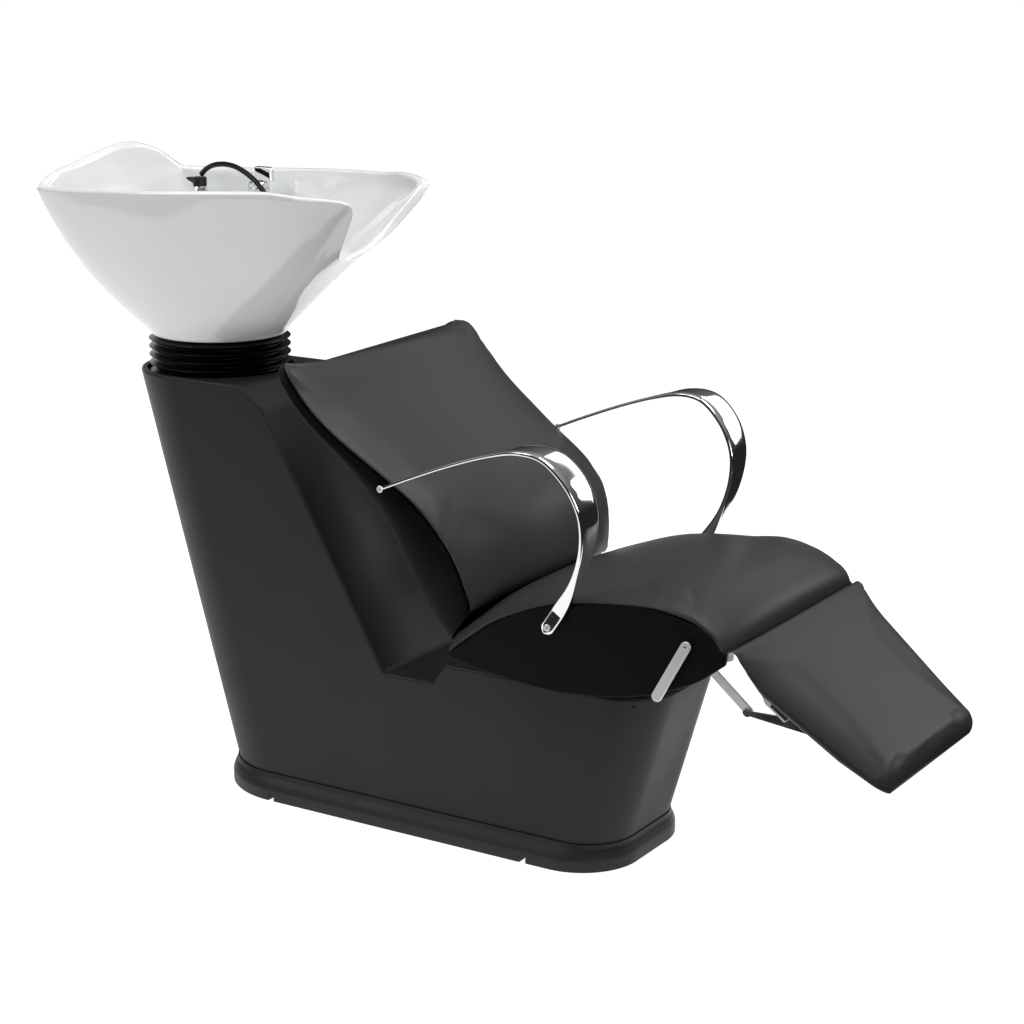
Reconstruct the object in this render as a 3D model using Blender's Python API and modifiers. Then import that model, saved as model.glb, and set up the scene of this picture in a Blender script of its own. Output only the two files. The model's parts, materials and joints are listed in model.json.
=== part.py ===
"""Shampoo backwash unit: a tilting ceramic bowl on a plastic-clad base, joined to a reclined
seat with armrests and a hinged legrest.

Metres, +Z up, +X towards the client's feet, +Y to the client's left. The origin is the middle
of the floor plate's underside.
"""
import math

import bmesh
import bpy
import numpy as np
from mathutils import Matrix, Vector

OBJECT_NAME = "shampoo_backwash_unit"

# Clearances
GAP = 0.0003
RUNNING = 0.0006
SWING = 0.002

# How far a cutter runs past what it cuts, and half the size of one wider than the part
CUT_PAST = 0.020
CUT_REACH = 1.0

# Base: a narrow body whose rear wall leans back and whose front wall leans forward
BASE_HALF_WIDTH = 0.130
BASE_REAR_X = -0.380
BASE_REAR_LEAN = 0.2875
BASE_FRONT_X = 0.372
BASE_FRONT_LEAN = 0.296
BASE_FRONT_CORNER = 0.080
BASE_WALL = 0.005
PLINTH_PROUD = 0.013
PLINTH_HEIGHT = 0.035
PLINTH_NOTCH_LENGTH = 0.012
PLINTH_NOTCH_HEIGHT = 0.010
PLINTH_NOTCH_X = (-0.245, 0.245)
TOWER_TOP = 0.690
TOWER_SHOULDER_X = -0.305
TOWER_SHOULDER_DROP = 0.030
TOWER_FRONT_TOP_X = -0.258
LEDGE_Z = 0.256
LEDGE_REAR_X = -0.026
LEDGE_FRONT_X = 0.066
DECK_Z = 0.290
DECK_REAR_X = 0.090
FLOOR_PLATE_THICK = 0.006
FLOOR_PLATE_CLEAR = 0.002
FLOOR_HOLE_R = 0.0055
FLOOR_HOLE_X = 0.200
FLOOR_HOLE_Y = 0.085

# Inner steel frame and plumbing
POST_DEPTH = 0.060
POST_WIDTH = 0.030
POST_Y = 0.078
POST_FOOT_X = -0.275
POST_TOP = 0.600
BRACKET_THICK = 0.006
BRACKET_LENGTH = 0.100
SEAT_POST_X = 0.330
SEAT_POST_SIDE = 0.050
WASTE_PIPE_R = 0.019
SUPPLY_R = 0.006
VALVE_R = 0.014
VALVE_HEIGHT = 0.050
VALVE_X = -0.150
VALVE_Y = 0.045

# Bowl tilt joint and bellows
BOWL_X = -0.445
TILT_Z = 0.708
TILT_PIN_R = 0.006
TILT_EAR_R = 0.014
TILT_EAR_THICK = 0.006
TILT_EAR_Y = 0.052
TILT_LUG_Y = 0.040
CARRIER_R = 0.085
CARRIER_THICK = 0.006
CARRIER_HOLE_R = 0.032
BELLOWS_R = 0.118
BELLOWS_DEPTH = 0.010
BELLOWS_WALL = 0.003
BELLOWS_FOOT_Z = 0.664
BELLOWS_RIDGES = 6
BELLOWS_MOUTH_CLEAR = 0.004
CLAMP_RING_THICK = 0.004
CLAMP_RING_WIDTH = 0.022

# Bowl
FOOT_Z = 0.746
FOOT_R = 0.1135
FOOT_INSET = 0.010
RIM_REAR_X = -0.672
RIM_REAR_BULGE = 0.018
RIM_REAR_RISE = 0.047
RIM_CORNER_X = -0.660
RIM_CORNER_Y = 0.187
RIM_CORNER_Z = 0.993
RIM_SIDE_X = -0.430
RIM_SIDE_Y = 0.205
RIM_FRONT_X = -0.200
RIM_FRONT_Y = 0.164
RIM_SLOPE = 0.040
RIM_SIDE_BOW = 0.004
HORN_X = -0.092
HORN_Y = 0.106
HORN_HOOK = 0.014
NOTCH_HALF_WIDTH = 0.062
NOTCH_X = -0.142
NOTCH_Z = 0.903
RIM_THICK = 0.016
BOWL_FLOOR_Z = 0.800
BOWL_FULLNESS = 1.9
BOWL_FRONT_FLATTEN = 0.63
BOWL_FLOOR_CURVE = 2.6
BOWL_WALL_CURVE = 1.7
DRAIN_R = 0.026
TAP_DECK_Z = 0.918
TAP_DECK_THICK = 0.014
TAP_DECK_X = (-0.632, -0.376)
TAP_DECK_Y = 0.092

# Waste, mixer, spray
EDGE_CHAMFER = 0.002
WASTE_FLANGE_R = 0.034
WASTE_FLANGE_THICK = 0.003
WASTE_TUBE_R = 0.0245
WASTE_TUBE_WALL = 0.004
WASTE_TUBE_LENGTH = 0.070
WASTE_TAIL_BOTTOM = 0.672
WASTE_TAIL_OVERLAP = 0.020
WASTE_TAIL_WALL = 0.002
WASTE_PIPE_DROP = 0.014
STRAINER_R = 0.028
STRAINER_THICK = 0.003
STRAINER_PLUG = 0.010
STRAINER_KNOB_R = 0.006
STRAINER_KNOB_HEIGHT = 0.009
MIXER_X = -0.474
MIXER_Y = 0.152
MIXER_R = 0.0185
MIXER_FLANGE_R = 0.023
MIXER_FLANGE_THICK = 0.003
MIXER_HEIGHT = 0.051
MIXER_CAP_HEIGHT = 0.010
MIXER_CAP_CHAMFER = 0.003
LEVER_LENGTH = 0.036
LEVER_WIDTH = 0.012
LEVER_THICK = 0.006
SPRAY_X = -0.602
SPRAY_Y = 0.150
SPRAY_R = 0.015
SPRAY_HEIGHT = 0.042
SPRAY_SHOULDER = 0.008
SPRAY_COLLAR_R = 0.012
SPRAY_COLLAR_HEIGHT = 0.016
SPRAY_SPUR = 0.014
SPRAY_SPUR_WIDTH = 0.012
SPRAY_SPUR_TIP = 0.003
HOLDER_WALL = 0.003
HOLDER_HEIGHT = 0.016
GLAND_X = -0.4195
GLAND_Y = 0.1124
GLAND_R = 0.010
GLAND_HEIGHT = 0.012
HOSE_R = 0.0045
HOSE_SEAT = 0.001

# Seat
SEAT_HALF_WIDTH = 0.216
SEAT_SIDE_THICK = 0.012
SEAT_TOP_PATH = ((0.149, 0.340), (0.244, 0.409), (0.340, 0.449), (0.480, 0.4675), (0.578, 0.452),
                 (0.621, 0.4195))
SEAT_UNDER_PATH = ((0.619, 0.402), (0.564, 0.364), (0.470, 0.330), (0.350, 0.3155), (0.240, 0.323),
                   (0.160, 0.336))
SEAT_BOARD_THICK = 0.012
SEAT_PAD_THICK = 0.012
SEAT_PAD_CROWN = 0.010
SEAT_PAD_REAR_X = 0.196
SEAT_PAD_FRONT_X = 0.619
SEAT_PAD_SIDE_DRAW = 0.004
SEAT_RAIL_Y = 0.085
SEAT_RAIL_THICK = 0.006
SEAT_RAIL_X = (0.200, 0.430)

# Back
BACK_FRONT_PATH = ((0.194, 0.432), (0.186, 0.476), (0.167, 0.520), (0.122, 0.570), (0.051, 0.619),
                   (-0.041, 0.685), (-0.114, 0.763))
BACK_REAR_PATH = ((0.134, 0.372), (0.099, 0.440), (0.058, 0.519), (0.020, 0.570), (-0.031, 0.628),
                  (-0.097, 0.691), (-0.138, 0.748))
BACK_TOP_HALF_WIDTH = 0.254
BACK_FOOT_HALF_WIDTH = 0.200
BACK_PAD_THICK = 0.012
BACK_PAD_CROWN = 0.006
BACK_PAD_SIDE_DRAW = 0.004
BACK_BODY_INSET = 0.002
BACK_BODY_SIDE_DRAW = 0.003
BACK_TOP_DIP = 0.012
BACK_UPRIGHT_Y = 0.070
BACK_UPRIGHT_THICK = 0.008
BACK_UPRIGHT_FOOT = 0.060

# Armrests
ARM_PATH = ((0.061, 0.594), (0.126, 0.623), (0.197, 0.651), (0.266, 0.675), (0.318, 0.688),
            (0.362, 0.684), (0.397, 0.657), (0.418, 0.622), (0.424, 0.583), (0.414, 0.533),
            (0.388, 0.479), (0.343, 0.416))
ARM_TOP_Y = 0.2455
ARM_END_R = 0.010
ARM_WIDE = 0.030
ARM_WIDE_AT = 0.55
ARM_WIDE_SPREAD = 0.24
ARM_SQUARENESS = 0.55
ARM_LEAN_FROM = 0.45
ARM_LEAN_RUN = 0.50
ARM_TAB_FROM = 0.80
ARM_TAB_RUN = 0.16
ARM_THICK = 0.010
ARM_TAB_THICK = 0.008
ARM_TAB_WIDTH = 0.022
SCREW_R = 0.0025
SCREW_HEAD_R = 0.0055
SCREW_HEAD = 0.0025
SCREW_GRIP = 0.012

# Legrest, hinged under the front edge of the seat
HINGE_X = 0.629
HINGE_Z = 0.412
LEGREST_ANGLE = math.radians(36.0)
LEGREST_LENGTH = 0.281
LEGREST_START = 0.009
LEGREST_HALF_WIDTH = 0.213
LEGREST_END_HALF_WIDTH = 0.172
LEGREST_PAD_TOP = 0.009
LEGREST_PAD_THICK = 0.036
LEGREST_PAD_CROWN = 0.005
LEGREST_PAD_SIDE_DRAW = 0.004
LEGREST_CORNER = 0.028
LEGREST_END_THIN = 0.35
LEGREST_RAMP = 0.075
LEGREST_BOARD_THICK = 0.009
LEGREST_BOARD_INSET = 0.012
HINGE_PIN_R = 0.0035
HINGE_KNUCKLE_R = 0.0065
HINGE_LEAF_THICK = 0.003
HINGE_LEAF_LENGTH = 0.190
HINGE_LEAF_FOOT = 0.030
HINGE_LEAF_HEEL = 0.008
HINGE_LEAF_NOSE = 0.0039
HINGE_HALF_LENGTH = 0.165
HINGE_KNUCKLES = 5

# Legrest links: a bar pivots on the legrest and its rear pin runs in a slot under the seat
LINK_Y = 0.130
LINK_THICK = 0.004
LINK_WIDTH = 0.014
LINK_LENGTH = 0.115
LINK_RISE = math.radians(40.0)
LINK_PIVOT_ALONG = 0.050
LINK_PIVOT_BELOW = 0.088
LINK_PIN_R = 0.0035
LINK_BRACKET_WIDTH = 0.036
GUIDE_THICK = 0.004
GUIDE_MARGIN = 0.009
LEGREST_DOWN = math.radians(34.0)
LEGREST_UP = math.radians(30.0)
GUIDE_OVERTRAVEL = math.radians(1.0)

# Release lever
RELEASE_X = 0.561
RELEASE_Z = 0.423
RELEASE_LENGTH = 0.093
RELEASE_LEAN = math.radians(29.0)
RELEASE_WIDTH = 0.016
RELEASE_THICK = 0.005
RELEASE_SHAFT_R = 0.005
RELEASE_SHAFT_IN = 0.030
RELEASE_CAM_R = 0.011
RELEASE_CAM_THICK = 0.006
RELEASE_CAM_OFFSET = 0.003

ROUND_STEPS = 32
SMALL_STEPS = 16
BOWL_STEPS = 64


def srgb(value):
    """One sRGB channel, 0 to 1, as a linear value."""
    return value / 12.92 if value <= 0.04045 else ((value + 0.055) / 1.055) ** 2.4


FINISHES = {
    "base_plastic": ((56, 58, 57), 0.55, 0.0),
    "plinth_plastic": ((46, 47, 47), 0.60, 0.0),
    "painted_steel": ((60, 62, 64), 0.50, 0.6),
    "zinc_steel": ((150, 152, 155), 0.40, 0.9),
    "black_rubber": ((16, 16, 16), 0.35, 0.0),
    "white_ceramic": ((235, 238, 237), 0.08, 0.0),
    "chrome": ((220, 222, 225), 0.06, 1.0),
    "black_plastic": ((14, 14, 14), 0.40, 0.0),
    "black_vinyl": ((16, 16, 16), 0.50, 0.0),
    "grey_vinyl": ((76, 77, 76), 0.48, 0.0),
    "plywood": ((170, 132, 88), 0.65, 0.0),
    "pipe_plastic": ((205, 206, 204), 0.45, 0.0),
}


def material(node, finish):
    """A Principled material of its own for one piece."""
    colour, roughness, metallic = FINISHES[finish]
    made = bpy.data.materials.new(f"{node}_{finish}")
    made.use_nodes = True
    shader = made.node_tree.nodes["Principled BSDF"]
    linear = [srgb(channel / 255.0) for channel in colour]
    shader.inputs["Base Color"].default_value = (*linear, 1.0)
    shader.inputs["Roughness"].default_value = roughness
    shader.inputs["Metallic"].default_value = metallic
    made.diffuse_color = (*linear, 1.0)
    return made


def clear_scene():
    """Remove whatever the scene holds and make the two collections."""
    for item in list(bpy.data.objects):
        bpy.data.objects.remove(item, do_unlink=True)
    groups = []
    for name in (OBJECT_NAME, "cutters"):
        group = bpy.data.collections.new(name)
        bpy.context.scene.collection.children.link(group)
        groups.append(group)
    return groups


PARTS, CUTTERS = clear_scene()


def finish_mesh(bm, name):
    """Turn a bmesh into a mesh with its faces pointing out and its round faces smooth."""
    bmesh.ops.recalc_face_normals(bm, faces=bm.faces)
    mesh = bpy.data.meshes.new(name)
    bm.to_mesh(mesh)
    bm.free()
    mesh.shade_smooth()
    mesh.set_sharp_from_angle(angle=math.radians(35.0))
    return mesh


def place(name, data, finish=None, pivot=None):
    """Link an object as a part, or as a cutter if it has no finish; pivot moves its origin."""
    made = bpy.data.objects.new(name, data)
    if finish is None:
        CUTTERS.objects.link(made)
        made.hide_render = True
        made.display_type = "WIRE"
        return made
    PARTS.objects.link(made)
    data.materials.append(material(name, finish))
    if pivot is not None:
        data.transform(Matrix.Translation(-Vector(pivot)))
        made.location = pivot
    return made


def combine(target, tool, operation):
    """Add an exact Boolean of a cutter to a piece."""
    step = target.modifiers.new(tool.name, "BOOLEAN")
    step.operation = operation
    step.solver = "EXACT"
    step.object = tool
    return target


def cut(target, *tools):
    """Take the cutters out of a piece."""
    for tool in tools:
        combine(target, tool, "DIFFERENCE")
    return target


def fuse(target, *tools):
    """Join the cutters to a piece."""
    for tool in tools:
        combine(target, tool, "UNION")
    return target


def box(name, low, high, finish=None, pivot=None):
    """An upright box between two corners."""
    bm = bmesh.new()
    bmesh.ops.create_cube(bm, size=1.0)
    size = Vector(high) - Vector(low)
    bmesh.ops.scale(bm, vec=size, verts=bm.verts)
    bmesh.ops.translate(bm, vec=(Vector(high) + Vector(low)) / 2.0, verts=bm.verts)
    return place(name, finish_mesh(bm, name), finish, pivot)


def rod(name, start, end, radius, finish=None, pivot=None, steps=SMALL_STEPS):
    """A round bar between two points."""
    bm = bmesh.new()
    along = Vector(end) - Vector(start)
    bmesh.ops.create_cone(bm, cap_ends=True, segments=steps, radius1=radius, radius2=radius,
                          depth=along.length)
    turn = Vector((0.0, 0.0, 1.0)).rotation_difference(along).to_matrix().to_4x4()
    bmesh.ops.transform(bm, matrix=turn, verts=bm.verts)
    bmesh.ops.translate(bm, vec=(Vector(start) + Vector(end)) / 2.0, verts=bm.verts)
    return place(name, finish_mesh(bm, name), finish, pivot)


def slab(name, outline, low, high, finish=None, pivot=None, across="Y"):
    """A flat outline given thickness across one axis: YZ across X, XZ across Y, or XY across Z."""
    def corner(point, level):
        spot = list(point)
        spot.insert("XYZ".index(across), level)
        return tuple(spot)

    bm = bmesh.new()
    face = bm.faces.new([bm.verts.new(corner(point, low)) for point in outline])
    grown = bmesh.ops.extrude_face_region(bm, geom=[face])["geom"]
    moved = [item for item in grown if isinstance(item, bmesh.types.BMVert)]
    bmesh.ops.translate(bm, vec=Vector(corner((0.0, 0.0), high - low)), verts=moved)
    return place(name, finish_mesh(bm, name), finish, pivot)


def loft(name, rings, finish=None, pivot=None, closed=False):
    """Skin rings of equal count in order; ends are capped unless the rings run round to the first."""
    bm = bmesh.new()
    rows = [[bm.verts.new(point) for point in ring] for ring in rings]
    pairs = list(zip(rows, rows[1:]))
    if closed:
        pairs.append((rows[-1], rows[0]))
    for row, following in pairs:
        count = len(row)
        for i in range(count):
            j = (i + 1) % count
            bm.faces.new((row[i], row[j], following[j], following[i]))
    if not closed:
        bm.faces.new(rows[0])
        bm.faces.new(rows[-1])
    bmesh.ops.triangulate(bm, faces=[face for face in bm.faces if len(face.verts) == 4])
    return place(name, finish_mesh(bm, name), finish, pivot)


def turned(name, profile, centre, finish=None, steps=ROUND_STEPS):
    """Turn a profile of (radius, height) about an upright axis; a profile off the axis is closed."""
    bm = bmesh.new()
    points = [bm.verts.new((radius, 0.0, height)) for radius, height in profile]
    pairs = list(zip(points, points[1:]))
    if min(radius for radius, _ in profile) > 0.0:
        pairs.append((points[-1], points[0]))
    for pair in pairs:
        bm.edges.new(pair)
    mesh = bpy.data.meshes.new(name)
    bm.to_mesh(mesh)
    bm.free()
    made = place(name, mesh, finish)
    made.location = centre
    spin = made.modifiers.new("turn", "SCREW")
    spin.steps = steps
    spin.render_steps = steps
    spin.use_merge_vertices = True
    spin.merge_threshold = 0.00005
    spin.use_smooth_shade = True
    return made


def tube(name, points, radius, finish, resolution=2):
    """A round tube along a polyline, with filled ends."""
    curve = bpy.data.curves.new(name, "CURVE")
    curve.dimensions = "3D"
    curve.bevel_depth = radius
    curve.bevel_resolution = resolution
    curve.use_fill_caps = True
    line = curve.splines.new("POLY")
    line.points.add(len(points) - 1)
    for knot, point in zip(line.points, points):
        knot.co = (*point, 1.0)
    return place(name, curve, finish)


def smooth_path(points, count):
    """Read a smooth curve through the points, at equal steps of its length."""
    knots = np.array(points, float)
    padded = np.vstack([2 * knots[0] - knots[1], knots, 2 * knots[-1] - knots[-2]])
    fine = []
    for before, start, end, after in zip(padded, padded[1:], padded[2:], padded[3:]):
        t = np.linspace(0.0, 1.0, 24, endpoint=False)[:, None]
        bend = (2 * before - 5 * start + 4 * end - after) * t ** 2
        twist = (3 * start - before - 3 * end + after) * t ** 3
        fine.append(0.5 * (2 * start + (end - before) * t + bend + twist))
    fine = np.vstack(fine + [knots[-1:]])
    run = np.concatenate([[0.0], np.cumsum(np.linalg.norm(np.diff(fine, axis=0), axis=1))])
    wanted = np.linspace(0.0, run[-1], count)
    return np.column_stack([np.interp(wanted, run, fine[:, axis]) for axis in range(fine.shape[1])])


def height_on(path, x):
    """The height of a curve that runs along X, at one x."""
    order = np.argsort(path[:, 0])
    return float(np.interp(x, path[order, 0], path[order, 1]))


def arc(centre, radius, start, end, steps):
    """Points along a circular arc, angles in degrees."""
    angles = np.radians(np.linspace(start, end, steps))
    return [(centre[0] + radius * math.cos(a), centre[1] + radius * math.sin(a)) for a in angles]


def inset(outline, distance):
    """Move each side of a counter-clockwise outline inwards by a distance."""
    points = np.array(outline, float)
    along = np.roll(points, -1, axis=0) - points
    along /= np.linalg.norm(along, axis=1)[:, None]
    inward = np.column_stack([-along[:, 1], along[:, 0]])
    before = np.roll(inward, 1, axis=0)
    scale = 1.0 + (inward * before).sum(axis=1)
    return points + distance * (inward + before) / scale[:, None]


def rounded_bar(start, end, width, steps=9):
    """Outline of a flat bar with round ends between two centres."""
    heading = math.degrees(math.atan2(end[1] - start[1], end[0] - start[0]))
    return (arc(end, width / 2.0, heading - 90.0, heading + 90.0, steps)
            + arc(start, width / 2.0, heading + 90.0, heading + 270.0, steps))


def turn_about(point, centre, angle):
    """Turn an (x, z) point about a centre; a positive angle lowers what lies ahead of it."""
    x = point[0] - centre[0]
    z = point[1] - centre[1]
    cosine = math.cos(angle)
    sine = math.sin(angle)
    return (centre[0] + x * cosine + z * sine, centre[1] - x * sine + z * cosine)


# Base

def base_plan(z, outset=0.0):
    """The base wall's plan at one height: a round rear and a front with rounded corners."""
    half = BASE_HALF_WIDTH + outset
    rear = BASE_REAR_X - BASE_REAR_LEAN * z - outset
    front = BASE_FRONT_X + BASE_FRONT_LEAN * z + outset
    corner = BASE_FRONT_CORNER + outset
    return (arc((rear + half, 0.0), half, 90.0, 270.0, 25)
            + arc((front - corner, corner - half), corner, -90.0, 0.0, 9)
            + arc((front - corner, half - corner), corner, 0.0, 90.0, 9))


def base_side():
    """The base's outline from the side, wider than its walls at both ends."""
    far = CUT_REACH
    return [(-far, -far), (far, -far), (far, DECK_Z), (DECK_REAR_X, DECK_Z), (LEDGE_FRONT_X, LEDGE_Z),
            (LEDGE_REAR_X, LEDGE_Z), (TOWER_FRONT_TOP_X, TOWER_TOP - TOWER_SHOULDER_DROP),
            (TOWER_SHOULDER_X, TOWER_TOP), (-far, TOWER_TOP)]


def base_loft(name, low, high, outset, finish=None):
    """The leaning walls of the base as a solid between two heights."""
    rings = [[(x, y, z) for x, y in base_plan(z, outset)] for z in (low, high)]
    return loft(name, rings, finish)


def make_base():
    """Floor plate with its anchor holes, plinth, and the hollow body with its mouth for the bellows."""
    reach = BASE_HALF_WIDTH * 2.0
    shell = base_loft("base_shell", 0.0, TOWER_TOP + CUT_PAST, 0.0, "base_plastic")
    combine(shell, slab("base_side_cut", base_side(), -reach, reach), "INTERSECT")
    hollow = base_loft("base_hollow", -CUT_PAST, TOWER_TOP + CUT_PAST, -BASE_WALL)
    combine(hollow, slab("base_hollow_side", inset(base_side(), BASE_WALL), -reach, reach), "INTERSECT")
    cut(shell, hollow)
    mouth = BELLOWS_R + BELLOWS_MOUTH_CLEAR
    cut(shell, rod("base_mouth", (BOWL_X, 0.0, TOWER_TOP - CUT_PAST), (BOWL_X, 0.0, TOWER_TOP + CUT_PAST),
                   mouth, steps=ROUND_STEPS))

    plan = base_plan(0.0, PLINTH_PROUD)
    plinth = slab("plinth", plan, 0.0, PLINTH_HEIGHT, "plinth_plastic", across="Z")
    cut(plinth, base_loft("plinth_bore", -CUT_PAST, PLINTH_HEIGHT + CUT_PAST, GAP))
    edge = BASE_HALF_WIDTH + PLINTH_PROUD
    for number, x in enumerate(PLINTH_NOTCH_X):
        low = (x - PLINTH_NOTCH_LENGTH / 2.0, -edge - CUT_PAST, -CUT_PAST)
        high = (x + PLINTH_NOTCH_LENGTH / 2.0, -edge + PLINTH_PROUD / 2.0, PLINTH_NOTCH_HEIGHT)
        cut(plinth, box(f"plinth_notch_{number}", low, high))

    plate = base_plan(0.0, -BASE_WALL - FLOOR_PLATE_CLEAR)
    floor = slab("floor_plate", plate, 0.0, FLOOR_PLATE_THICK, "painted_steel", across="Z")
    for number, (x, y) in enumerate(((-1, -1), (-1, 1), (1, -1), (1, 1))):
        spot = Vector((x * FLOOR_HOLE_X, y * FLOOR_HOLE_Y, 0.0))
        rise = Vector((0.0, 0.0, FLOOR_PLATE_THICK * 2.0))
        cut(floor, rod(f"floor_hole_{number}", spot - rise, spot + rise, FLOOR_HOLE_R))


def make_frame():
    """Leaning posts under the bowl and the post under the seat deck."""
    low = FLOOR_PLATE_THICK + GAP
    lean = BASE_REAR_LEAN * (POST_TOP - low)
    half = POST_DEPTH / 2.0
    outline = [(POST_FOOT_X - half, low), (POST_FOOT_X + half, low), (POST_FOOT_X - lean + half, POST_TOP),
               (POST_FOOT_X - lean - half, POST_TOP)]
    for side, sign in (("right", -1.0), ("left", 1.0)):
        middle = sign * POST_Y
        slab(f"tower_post_{side}", outline, middle - POST_WIDTH / 2.0, middle + POST_WIDTH / 2.0,
             "painted_steel")
    side = SEAT_POST_SIDE / 2.0
    box("seat_post", (SEAT_POST_X - side, -side, low),
        (SEAT_POST_X + side, side, DECK_Z - BASE_WALL - GAP), "painted_steel")


# Bowl tilt and bellows

def make_tilt():
    """The fixed bracket, its stub pins, and the carrier that tilts with the bowl."""
    plate_low = POST_TOP + GAP
    plate_high = plate_low + BRACKET_THICK
    half = BRACKET_LENGTH / 2.0
    reach = POST_Y + POST_WIDTH / 2.0
    bracket = box("bowl_bracket", (BOWL_X - half, -reach, plate_low), (BOWL_X + half, reach, plate_high),
                  "painted_steel")
    for side, sign in (("right", -1.0), ("left", 1.0)):
        ear = sorted((sign * (TILT_EAR_Y - TILT_EAR_THICK / 2.0), sign * (TILT_EAR_Y + TILT_EAR_THICK / 2.0)))
        outline = arc((BOWL_X, TILT_Z), TILT_EAR_R, 0.0, 180.0, 13)
        outline += [(BOWL_X - TILT_EAR_R, plate_high - BRACKET_THICK / 2.0),
                    (BOWL_X + TILT_EAR_R, plate_high - BRACKET_THICK / 2.0)]
        fuse(bracket, slab(f"bracket_ear_{side}", outline, *ear))
        pin_in = sign * (TILT_LUG_Y - TILT_EAR_THICK / 2.0)
        pin_out = sign * (TILT_EAR_Y + TILT_EAR_THICK / 2.0 + SWING)
        rod(f"tilt_pin_{side}", (BOWL_X, pin_in, TILT_Z), (BOWL_X, pin_out, TILT_Z), TILT_PIN_R, "zinc_steel",
            pivot=(BOWL_X, 0.0, TILT_Z))
    cut(bracket, rod("bracket_pipe_hole", (BOWL_X, 0.0, plate_low - CUT_PAST),
                     (BOWL_X, 0.0, plate_high + CUT_PAST), WASTE_PIPE_R + SWING * 3.0, steps=24))
    cut(bracket, rod("bracket_pin_hole", (BOWL_X, -reach, TILT_Z), (BOWL_X, reach, TILT_Z),
                     TILT_PIN_R + RUNNING))

    high = FOOT_Z - GAP
    low = high - CARRIER_THICK
    carrier = rod("tilt_carrier", (BOWL_X, 0.0, low), (BOWL_X, 0.0, high), CARRIER_R, "painted_steel",
                  pivot=(BOWL_X, 0.0, TILT_Z), steps=ROUND_STEPS)
    for side, sign in (("right", -1.0), ("left", 1.0)):
        lug = sorted((sign * (TILT_LUG_Y - TILT_EAR_THICK / 2.0), sign * (TILT_LUG_Y + TILT_EAR_THICK / 2.0)))
        outline = arc((BOWL_X, TILT_Z), TILT_EAR_R, 180.0, 360.0, 13)
        outline += [(BOWL_X + TILT_EAR_R, low + CARRIER_THICK / 2.0),
                    (BOWL_X - TILT_EAR_R, low + CARRIER_THICK / 2.0)]
        fuse(carrier, slab(f"carrier_lug_{side}", outline, *lug))
    cut(carrier, rod("carrier_hole", (BOWL_X, 0.0, low - CUT_PAST), (BOWL_X, 0.0, high + CUT_PAST),
                     CARRIER_HOLE_R, steps=24))
    cut(carrier, rod("carrier_pin_hole", (BOWL_X, -CARRIER_R, TILT_Z), (BOWL_X, CARRIER_R, TILT_Z),
                     TILT_PIN_R + RUNNING))


def make_bellows():
    """A ribbed rubber sleeve from the tower's mouth to the bowl's foot, and its clamp ring."""
    top = FOOT_Z - GAP
    pitch = (top - BELLOWS_FOOT_Z) / BELLOWS_RIDGES
    outer = [(BELLOWS_R - BELLOWS_DEPTH, top)]
    for ridge in range(BELLOWS_RIDGES):
        outer.append((BELLOWS_R, top - pitch * (ridge + 0.5)))
        outer.append((BELLOWS_R - BELLOWS_DEPTH, top - pitch * (ridge + 1.0)))
    inner = [(radius - BELLOWS_WALL, height) for radius, height in reversed(outer)]
    turned("bellows", outer + inner, (BOWL_X, 0.0, 0.0), "black_rubber", steps=36)
    high = BELLOWS_FOOT_Z - GAP
    outside = BELLOWS_R - BELLOWS_DEPTH
    ring = [(outside, high), (outside, high - CLAMP_RING_THICK),
            (outside - CLAMP_RING_WIDTH, high - CLAMP_RING_THICK), (outside - CLAMP_RING_WIDTH, high)]
    turned("bellows_clamp_ring", ring, (BOWL_X, 0.0, 0.0), "painted_steel")


# Bowl

def rim_height(x):
    """The rim climbs gently towards the client's neck."""
    return RIM_CORNER_Z + RIM_SLOPE * (x - RIM_CORNER_X)


def rim_loop():
    """The rim's centre line, from the rear middle round by +Y and back by -Y."""
    notch_rise = rim_height(HORN_X) - NOTCH_Z
    half = [(RIM_REAR_X - RIM_REAR_BULGE, 0.0, RIM_CORNER_Z + RIM_REAR_RISE),
            (RIM_REAR_X - RIM_REAR_BULGE * 0.7, RIM_CORNER_Y * 0.5, RIM_CORNER_Z + RIM_REAR_RISE * 0.72),
            (RIM_CORNER_X, RIM_CORNER_Y, RIM_CORNER_Z),
            ((RIM_CORNER_X + RIM_SIDE_X) / 2.0, (RIM_CORNER_Y + RIM_SIDE_Y) / 2.0 + RIM_SIDE_BOW,
             rim_height((RIM_CORNER_X + RIM_SIDE_X) / 2.0)),
            (RIM_SIDE_X, RIM_SIDE_Y, rim_height(RIM_SIDE_X)),
            (RIM_FRONT_X, RIM_FRONT_Y, rim_height(RIM_FRONT_X)),
            (HORN_X, HORN_Y, rim_height(HORN_X)),
            (HORN_X - HORN_HOOK, NOTCH_HALF_WIDTH * 1.25, NOTCH_Z + notch_rise * 0.62),
            (NOTCH_X, NOTCH_HALF_WIDTH * 0.62, NOTCH_Z + notch_rise * 0.08),
            (NOTCH_X, 0.0, NOTCH_Z)]
    half = smooth_path(half, BOWL_STEPS // 2 + 1)
    other = half[-2:0:-1] * np.array([1.0, -1.0, 1.0])
    return np.vstack([half, other])


def rim_spokes():
    """The rim, and each of its points as a heading and a reach from the bowl's upright axis."""
    rim = rim_loop()
    spread = rim[:, :2] - np.array([BOWL_X, 0.0])
    reach = np.linalg.norm(spread, axis=1)
    return rim, spread / reach[:, None], reach


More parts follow.
